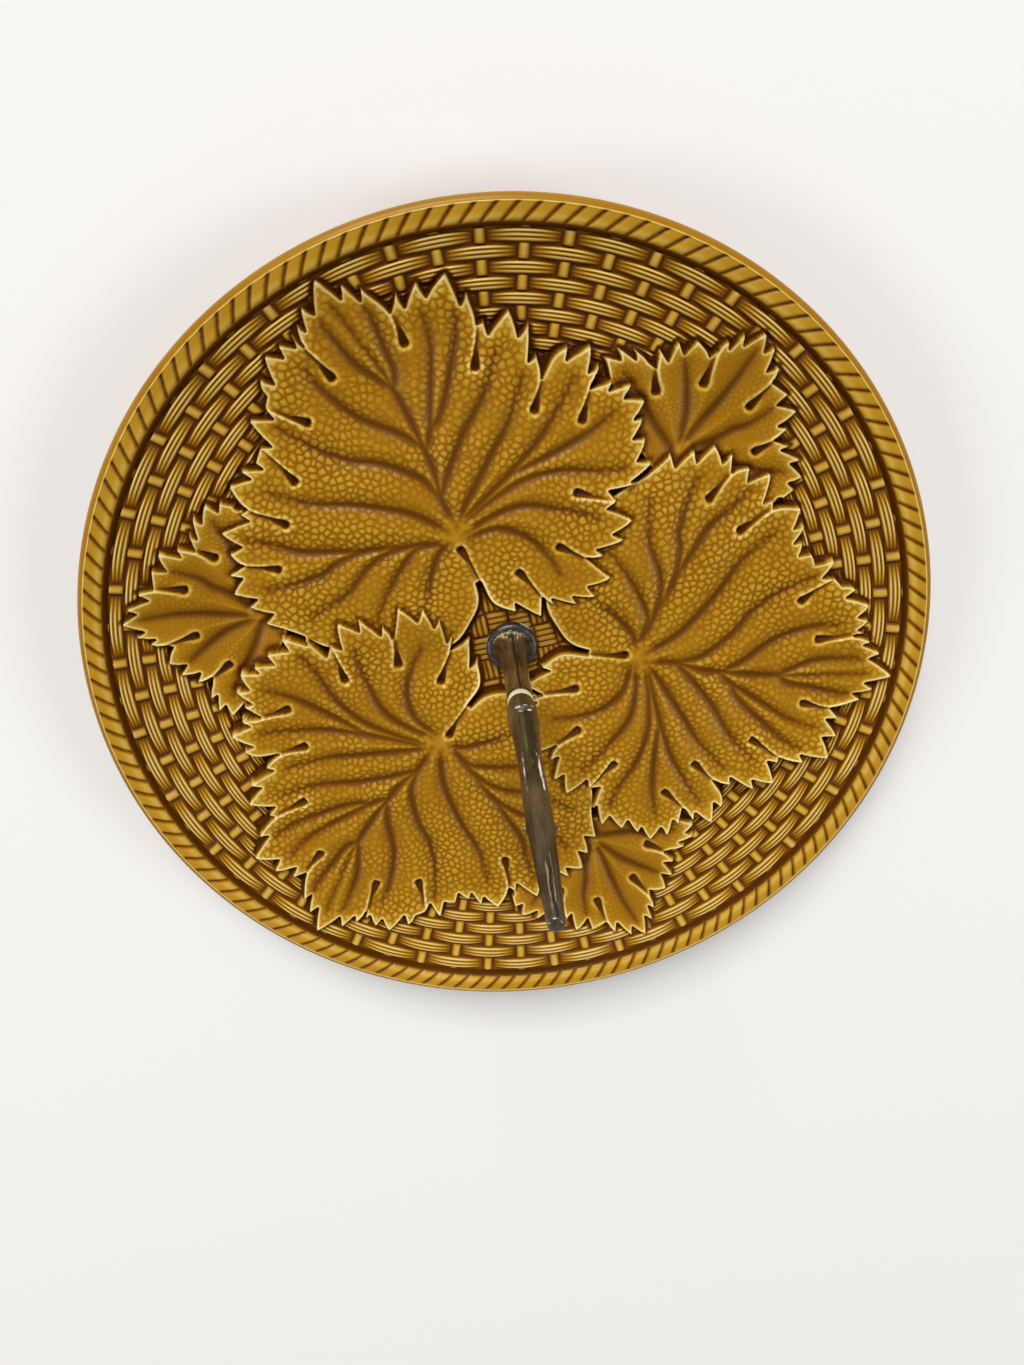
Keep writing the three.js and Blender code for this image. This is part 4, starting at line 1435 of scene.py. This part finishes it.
    def back(self) -> Piece:
        """The back: wall, foot ring and underside as one closed turned shell.

        Returns:
            The back.
        """
        inner = self.foot_radius - self.foot_width
        wall_foot = self.foot_radius + self.foot_draft
        r = np.linspace(self.well_radius, wall_foot, 14)
        wall = np.stack([r, self.ground(r) - self.wall_thickness], axis=1)
        foot = smooth_run(np.array([
            wall[-1], (self.foot_radius + 0.6, 2.5), (self.foot_radius - 0.2, 0.5), (self.foot_radius - 1, 0),
            (inner + 1, 0), (inner + 0.2, 0.5), (inner - 1.5, 5), (inner - 3.4, 8),
            (inner - 6, self.underside),
        ]), 4)
        foot[:, 1] = np.clip(foot[:, 1], 0, None)
        floor = np.stack([np.linspace(inner - 8, self.hole_radius, 20), np.full(20, self.underside)], axis=1)
        rise = np.array([(self.hole_radius, self.floor_top - 1.6), (inner - 8, self.floor_top - 3)])
        inside = np.stack([r[::-1], self.ground(r[::-1]) - 3.2], axis=1)
        profile = np.vstack([wall, foot[1:], floor, rise, inside])
        angle = round_angles(self.back_columns)
        points = turned(profile[:, :1], profile[:, 1:], angle)
        bare = bell(profile[:, 1:], 1.2) * (profile[:, :1] > inner - 1)
        wavy = 0.04 * np.sin(3 * angle + profile[:, :1] / 9)
        return make_piece("plate_back", points, True, glaze=np.clip(0.5 + 0.5 * bare + wavy, 0, 1))

    def build(self) -> None:
        """Makes, dresses and places every piece of the dish."""
        glaze = GLAZE.make()
        for piece in [*self.face_rings(), self.rope.build(), self.back()]:
            piece.data.materials.append(glaze)
            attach(piece, Body.PLATTER.value)
            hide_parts("plate")


# The handle

@dataclass(frozen=True)
class Patch:
    """A soft patch of colour on the grip, mostly painted reflection and highlight: a two-way Gaussian bump,
    up the grip and aside from its front.
    """

    height: float
    length: float
    aside: float
    width: float
    share: float

    def at(self, h: Array, aside: Array) -> Array:
        """How strongly the patch shows at these heights and distances aside."""
        return self.share * bell(h - self.height, self.length) * bell(aside - self.aside, self.width)


@dataclass
class Handle:
    """The bronze handle: collar, ferrule, bead ring and cane grip, with what holds them from below.

    The cane's sizes are pairs of radius and height, and the flat's of distance from the axis and height.
    A crust on the collar has an angle, a width in radians and a share.
    """

    collar_radius: float = 9.4
    collar_bottom: float = 15.5
    collar_top: float = 18.5
    collar_columns: int = 128
    collar_dents: float = 0.06
    gold_radius: float = 6.2
    gold_width: float = 1.1
    gold: float = 0.46
    crusts: tuple[tuple[float, float, float], ...] = ((np.pi, 0.45, 1), (1.05, 0.25, 0.8))
    bore_radius: float = 3.3
    ferrule_foot: float = 7.2
    ferrule_neck: float = 4.3
    ferrule_flare: float = 5.0
    ferrule_columns: int = 192
    foot_dent: float = 0.72
    foot_dent_width: float = 0.75
    seam_width: float = 0.34
    seam_depth: float = 0.4
    crease_width: float = 0.3
    crease_depth: float = 0.3
    bead_bottom: float = 62
    bead_edge: float = 3.9
    bead_radius: float = 4.35
    bead_columns: int = 128
    bead_dirt: float = 0.4
    grip_bottom: float = 66.2
    grip_columns: int = 144
    socket: float = 9.5
    cane: tuple[Point, ...] = ((4.2, 0), (4.8, 9), (3.6, 37.5), (3.7, 74.5), (2.2, 112.8))
    cane_end: tuple[Point, ...] = ((1.9, 113.25), (1.2, 113.5))
    flat: tuple[Point, ...] = ((3.7, 11), (2.7, 37.5), (2.75, 60), (3.7, 70))
    bark: Point = (62, 86)
    bark_depth: float = 0.16
    bud_height: float = 74.5
    bud_size: float = 0.85
    tip_wear: Point = (87, 95)
    # share of the painted dark reflection on the flat
    shade: float = 0.42
    # painted greenish reflection on the flat's left
    green: Patch = Patch(27, 17, 0.9, 0.9, 0.42)
    # painted reflection of the brown dish, beside the flat's foot
    foot_tan: Patch = Patch(12, 12, 1.3, 0.8, 0.5)
    middle_tan: Patch = Patch(62, 15, 0, 1.6, 0.22)
    # left_edge and right_edge place painted highlights along the flat's edges
    left_edge: Patch = Patch(50, 14, 0, 0.25, 0.5)
    right_edge: Patch = Patch(50, 14, 0.35, 0.5, 0.55)

    def collar(self) -> Piece:
        """The collar: a turned disc with a rounded edge, a little beaten.

        It is rubbed golden round the front of the ferrule, and that arc also carries a painted highlight; a
        crust lies on two stretches of its wall.

        Returns:
            The collar.
        """
        outer, top = self.collar_radius, self.collar_top
        profile = smooth_run(np.array([
            (self.bore_radius, top), (self.ferrule_foot, top), (outer - 1.3, top - 0.05),
            (outer - 0.4, top - 0.5), (outer, top - 1.4), (outer, self.collar_bottom + 0.5),
            (outer - 0.4, self.collar_bottom), (self.bore_radius, self.collar_bottom),
        ]), 5)
        angle = round_angles(self.collar_columns)
        beaten = self.collar_dents * np.sin(5 * angle + profile[:, 1:]) * np.sin(3 * angle)
        r = np.minimum(profile[:, :1] + beaten * ramp(5, 8, profile[:, :1]), outer)
        z = profile[:, 1:] + 0 * angle
        # gold arc: worn brass with a painted highlight, laid only on the front half
        front = ramp(top - 0.6, top - 0.2, z) * ramp(-0.2, 0.4, np.sin(angle))
        gold = self.gold * front * bell(r - self.gold_radius + 0.5 * np.cos(angle), self.gold_width)
        wall = ramp(outer - 0.9, outer - 0.1, r) * ramp(top - 0.6, self.collar_bottom + 1, z)
        crusts = [share * bell(angle - middle, width) for middle, width, share in self.crusts]
        crust = wall * np.max(crusts, axis=0)
        return make_piece("collar_disc", turned(r, z, angle), True, gold=gold, crust=crust)

    def ferrule(self) -> Piece:
        """The ferrule: a trumpet, r = neck + flare exp(-h / reach), with a seam pressed up its front.

        Its foot is drawn in at the seam, so that it spreads in two lobes, and two creases frame the seam's
        end. Seam, creases and the joint under the bead ring are dark.

        Returns:
            The ferrule.
        """
        h = (self.bead_bottom - self.collar_top) * np.linspace(1, 0, 80)[:, None] ** 1.6
        angle = round_angles(self.ferrule_columns)
        aside = off_angle(angle, FULL_TURN / 4)
        drawn_in = 1 - self.foot_dent * bell(aside, self.foot_dent_width)
        flare = (self.ferrule_foot - self.ferrule_neck) * drawn_in
        r = self.ferrule_neck + flare * np.exp(-h / self.ferrule_flare)
        front = aside * r
        seam = bell(front + 0.1 * np.sin(h / 3), self.seam_width)
        crease = bell(np.abs(front) - 0.9 - 0.22 * h, self.crease_width) * bell(h, 4)
        r = r - self.seam_depth * seam - self.crease_depth * crease
        joint = bell(self.collar_top + h - self.bead_bottom, 0.5)
        split = np.pad(np.maximum(np.maximum(seam, 0.7 * crease), joint), ((1, 1), (0, 0)))
        r = np.pad(r, ((1, 1), (0, 0)), constant_values=self.bore_radius)
        z = self.collar_top + np.pad(h, ((1, 1), (0, 0)), mode="edge")
        return make_piece("ferrule_trumpet", turned(r, z, angle), True, split=split)

    def bead(self) -> Piece:
        """The bead ring: a turned ring whose wall bulges as a half sine, with dirt at its lower edge.

        Returns:
            The ring.
        """
        share = np.linspace(1, 0, 24)[:, None]
        r = self.bead_edge + (self.bead_radius - self.bead_edge) * np.sin(np.pi * share)
        r = np.pad(r, ((1, 1), (0, 0)), constant_values=self.bore_radius)
        rise = (self.grip_bottom - self.bead_bottom) * np.pad(share, ((1, 1), (0, 0)), mode="edge")
        points = turned(r, self.bead_bottom + rise, round_angles(self.bead_columns))
        return make_piece("bead_turned", points, True, split=bell(rise, self.bead_dirt))

    def cane_shape(self, size: Array, h: Array, angle: Array) -> tuple[Array, Array, Array]:
        """The cane's surface: pared flat in front, with bark ridges and two side buds.

        The flat is the plane y = c, so there r = c / sin(angle). The ridges are slow waves round the cane
        that wander as they climb. The buds are two-way Gaussian bumps at the joint.

        Args:
            size: Radius of the plain cane, as a column.
            h: Height on the grip, as a column.
            angle: Angle round the axis, as a row.

        Returns:
            The radius at each point, and for each height how far it is pared and half the flat's width.
        """
        wander = 0.5 * np.sin(h / 17)
        ridges = 0.1 * np.sin(7 * angle + 3 * wander) + 0.06 * np.sin(13 * angle - 2 * wander)
        r = size + (ridges - self.bark_depth) * ramp(*self.bark, h)
        flat = smooth_run(np.array(self.flat), 20)
        front = np.interp(h, flat[:, 1], flat[:, 0])
        starts, stops = self.flat[0][1], self.flat[-1][1]
        pared = ramp(starts - 0.5, starts + 0.5, h) * (h < stops)
        half = np.sqrt(np.clip(r[:, :1] ** 2 - front**2, 0.5, None))
        level = np.minimum(r, front / np.clip(np.sin(angle), 0.2, 1))
        r = np.where(np.sin(angle) > 0.3, r + (level - r) * pared, r)
        for side in (0, np.pi):
            r = r + self.bud_size * bell(h - self.bud_height, 1.7) * bell(off_angle(angle, side), 0.22)
        return r, pared, half

    def cane_wear_and_painted_light(self, r: Array, h: Array, angle: Array, pared: Array, half: Array) -> dict[str, Array]:
        """The layers of the cane's coats.

        The flat is painted dark as a painted reflection, with a painted green reflection on it, a painted
        reflection of the brown dish beside its foot, and tan in its middle. Its edges, the bevel at its foot
        and the buds carry painted highlights, and the tip is worn golden along a dark split.

        Args:
            r: Radius at each point.
            h: Height on the grip.
            angle: Angle round the axis.
            pared: How far the cane is pared.
            half: Half the flat's width.

        Returns:
            The layers by name.
        """
        behind = 20
        aside = np.where(np.sin(angle) > 0, -r * np.cos(angle), behind)
        off = np.abs(aside)
        tip = ramp(*self.tip_wear, h)
        cracks = bell(aside - 0.25 * np.sin(h / 3.1), 0.22), bell(aside + 0.7 + 0.2 * np.sin(h / 2), 0.15)
        gold = 0.5 * (bell(aside - 0.55, 0.4) + bell(aside + 0.6, 0.35)) * ramp(112.5, 108, h)
        # painted highlights: streaks along the flat's edges, a line at the flat's foot and spots on the buds
        edges = [self.left_edge.at(h, aside - half) * pared, self.right_edge.at(h, aside + half) * pared]
        bevel = 0.7 * bell(np.abs(h - self.flat[0][1] - 0.2 * aside) - 0.9, 0.22)
        bevel = bevel * ramp(half + 0.3, half - 0.3, off)
        buds = 0.4 * bell(h - self.bud_height, 1.2) * (np.abs(np.cos(angle)) > 0.97)
        return {
            # painted dark reflection across the lower part of the flat
            "shade": self.shade * ramp(half + 0.2, half - 0.5, off) * ramp(66, 50, h) * pared,
            # painted reflection of the brown dish beside the flat's foot, plus a tan patch in the flat's
            # middle
            "tan": self.foot_tan.at(h, aside - half) + self.middle_tan.at(h, aside),
            # painted greenish reflection on the flat
            "green": self.green.at(h, aside) * pared,
            "gold": tip * gold,
            # painted highlights
            "painted_highlight": np.max([*edges, bevel, buds], axis=0),
            "split": tip * (cracks[0] + 0.6 * cracks[1]),
        }

    def grip(self) -> Piece:
        """The grip: the cane from its rounded end down, and its socket up from the bead ring.

        Returns:
            The grip.
        """
        sizes = smooth_run(np.array(self.cane), 40)
        size, h, angle = sizes[:, :1], sizes[:, 1:], round_angles(self.grip_columns)
        r, pared, half = self.cane_shape(size, h, angle)
        coats = self.cane_wear_and_painted_light(r, h, angle, pared, half)
        socket = np.array([(self.bore_radius, self.socket), (self.bore_radius, 0)])
        closing = np.array(self.cane_end)
        row = np.ones_like(angle)
        r = np.vstack([socket[:, :1] * row, r, closing[:, :1] * row])[::-1]
        h = np.vstack([socket[:, 1:], h, closing[:, 1:]])[::-1]
        ends = ((len(socket), len(closing)), (0, 0))
        coats = {name: np.pad(layer, ends)[::-1] for name, layer in coats.items()}
        return make_piece("grip_cane", turned(r, self.grip_bottom + h, angle), False, **coats)

    def build(self) -> None:
        """Makes, dresses and places every piece of the handle, and dresses the nodes that stay."""
        parts = (
            (self.collar(), COLLAR, Body.PLATTER, "collar", Slot.COLLAR),
            (self.ferrule(), FERRULE, Body.PLATTER, "ferrule", Slot.FERRULE),
            (self.bead(), BEAD, Body.BEAD, "bead_ring", Slot.BEAD),
            (self.grip(), CANE, Body.GRIP, "grip", Slot.CANE),
        )
        for piece, finish, body, node, slot in parts:
            piece.data.materials.append(finish.make())
            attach(piece, body.value)
            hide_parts(node)
        steel, rubber = STEEL.make(), RUBBER.make()
        dressed = (("stud", steel), ("backing_washer", steel), ("clamp_nut", steel),
                   ("upper_gasket", rubber), ("lower_gasket", rubber))
        for node, material in dressed:
            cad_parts[node].data.materials.clear()
            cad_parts[node].data.materials.append(material)
            LOG.info("%s: dressed", node)


# The studio

@dataclass
class Studio:
    """The pale floor, the soft light and the camera."""

    eye: Place = (-24.6, 140.3, 361.8)
    look: Place = (0.0661, -0.408, -0.9106)
    up: Place = (0, 0.9126, -0.4089)
    lens: float = 26.9
    nearest: float = 10
    lamps: tuple[tuple[str, Place, float, float], ...] = (
        ("key", (-1400, 5200, 4800), 3200, 490),
        ("right", (2400, -300, 2100), 1200, 22),
        ("left", (-2400, -900, 2100), 1200, 22),
    )
    floor_half: float = 4000
    floor_color: Color = (0.86, 0.85, 0.83)
    floor_roughness: float = 0.9
    world_color: Color = (1.0, 0.985, 0.96)
    world_strength: float = 0.21

    def camera(self) -> None:
        """Sets the camera: its axes are the right of the view, its up and the way back from the dish."""
        data = bpy.data.cameras.new("camera")
        data.lens = self.lens
        data.clip_start = self.nearest * MM
        camera = bpy.data.objects.new("camera", data)
        back = -Vector(self.look).normalized()
        right = Vector(self.up).cross(back).normalized()
        up = back.cross(right)
        turn = Matrix((right, up, back)).transposed().to_4x4()
        camera.matrix_world = Matrix.Translation(Vector(self.eye) * MM) @ turn
        bpy.context.scene.collection.objects.link(camera)
        bpy.context.scene.camera = camera

    @staticmethod
    def lamp(name: str, place: Place, size: float, power: float) -> None:
        """Adds a square soft lamp that faces the dish.

        Args:
            name: Lamp name.
            place: Where it hangs, in millimetres.
            size: Side length in millimetres.
            power: Watts.
        """
        data = bpy.data.lights.new(name, "AREA")
        data.size = size * MM
        data.energy = power
        lamp = bpy.data.objects.new(name, data)
        lamp.location = Vector(place) * MM
        lamp.rotation_euler = Vector(place).to_track_quat("Z", "Y").to_euler()
        bpy.context.scene.collection.objects.link(lamp)

    def floor(self) -> None:
        """Lays the floor: one large square under the foot."""
        half = self.floor_half * MM
        mesh = bpy.data.meshes.new("floor")
        corners = [(-half, -half, 0), (half, -half, 0), (half, half, 0), (-half, half, 0)]
        mesh.from_pydata(corners, [], [(0, 1, 2, 3)])
        floor = bpy.data.objects.new("floor", mesh)
        material = bpy.data.materials.new("pale_floor")
        material.use_nodes = True
        shader = material.node_tree.nodes["Principled BSDF"]
        shader.inputs["Base Color"].default_value = (*self.floor_color, 1)
        shader.inputs["Roughness"].default_value = self.floor_roughness
        mesh.materials.append(material)
        bpy.context.scene.collection.objects.link(floor)

    def build(self) -> None:
        """Sets up camera, floor, light and view transform."""
        self.camera()
        self.floor()
        for lamp in self.lamps:
            self.lamp(*lamp)
        world = bpy.data.worlds.new("studio")
        world.use_nodes = True
        sky = world.node_tree.nodes["Background"]
        sky.inputs["Color"].default_value = (*self.world_color, 1)
        sky.inputs["Strength"].default_value = self.world_strength
        bpy.context.scene.world = world
        bpy.context.scene.view_settings.view_transform = "Standard"


def main() -> None:
    """Builds the dish, the handle and the studio."""
    logging.basicConfig(level=logging.INFO, format="%(name)s %(message)s")
    Dish().build()
    Handle().build()
    Studio().build()


if __name__ == "__main__":
    main()
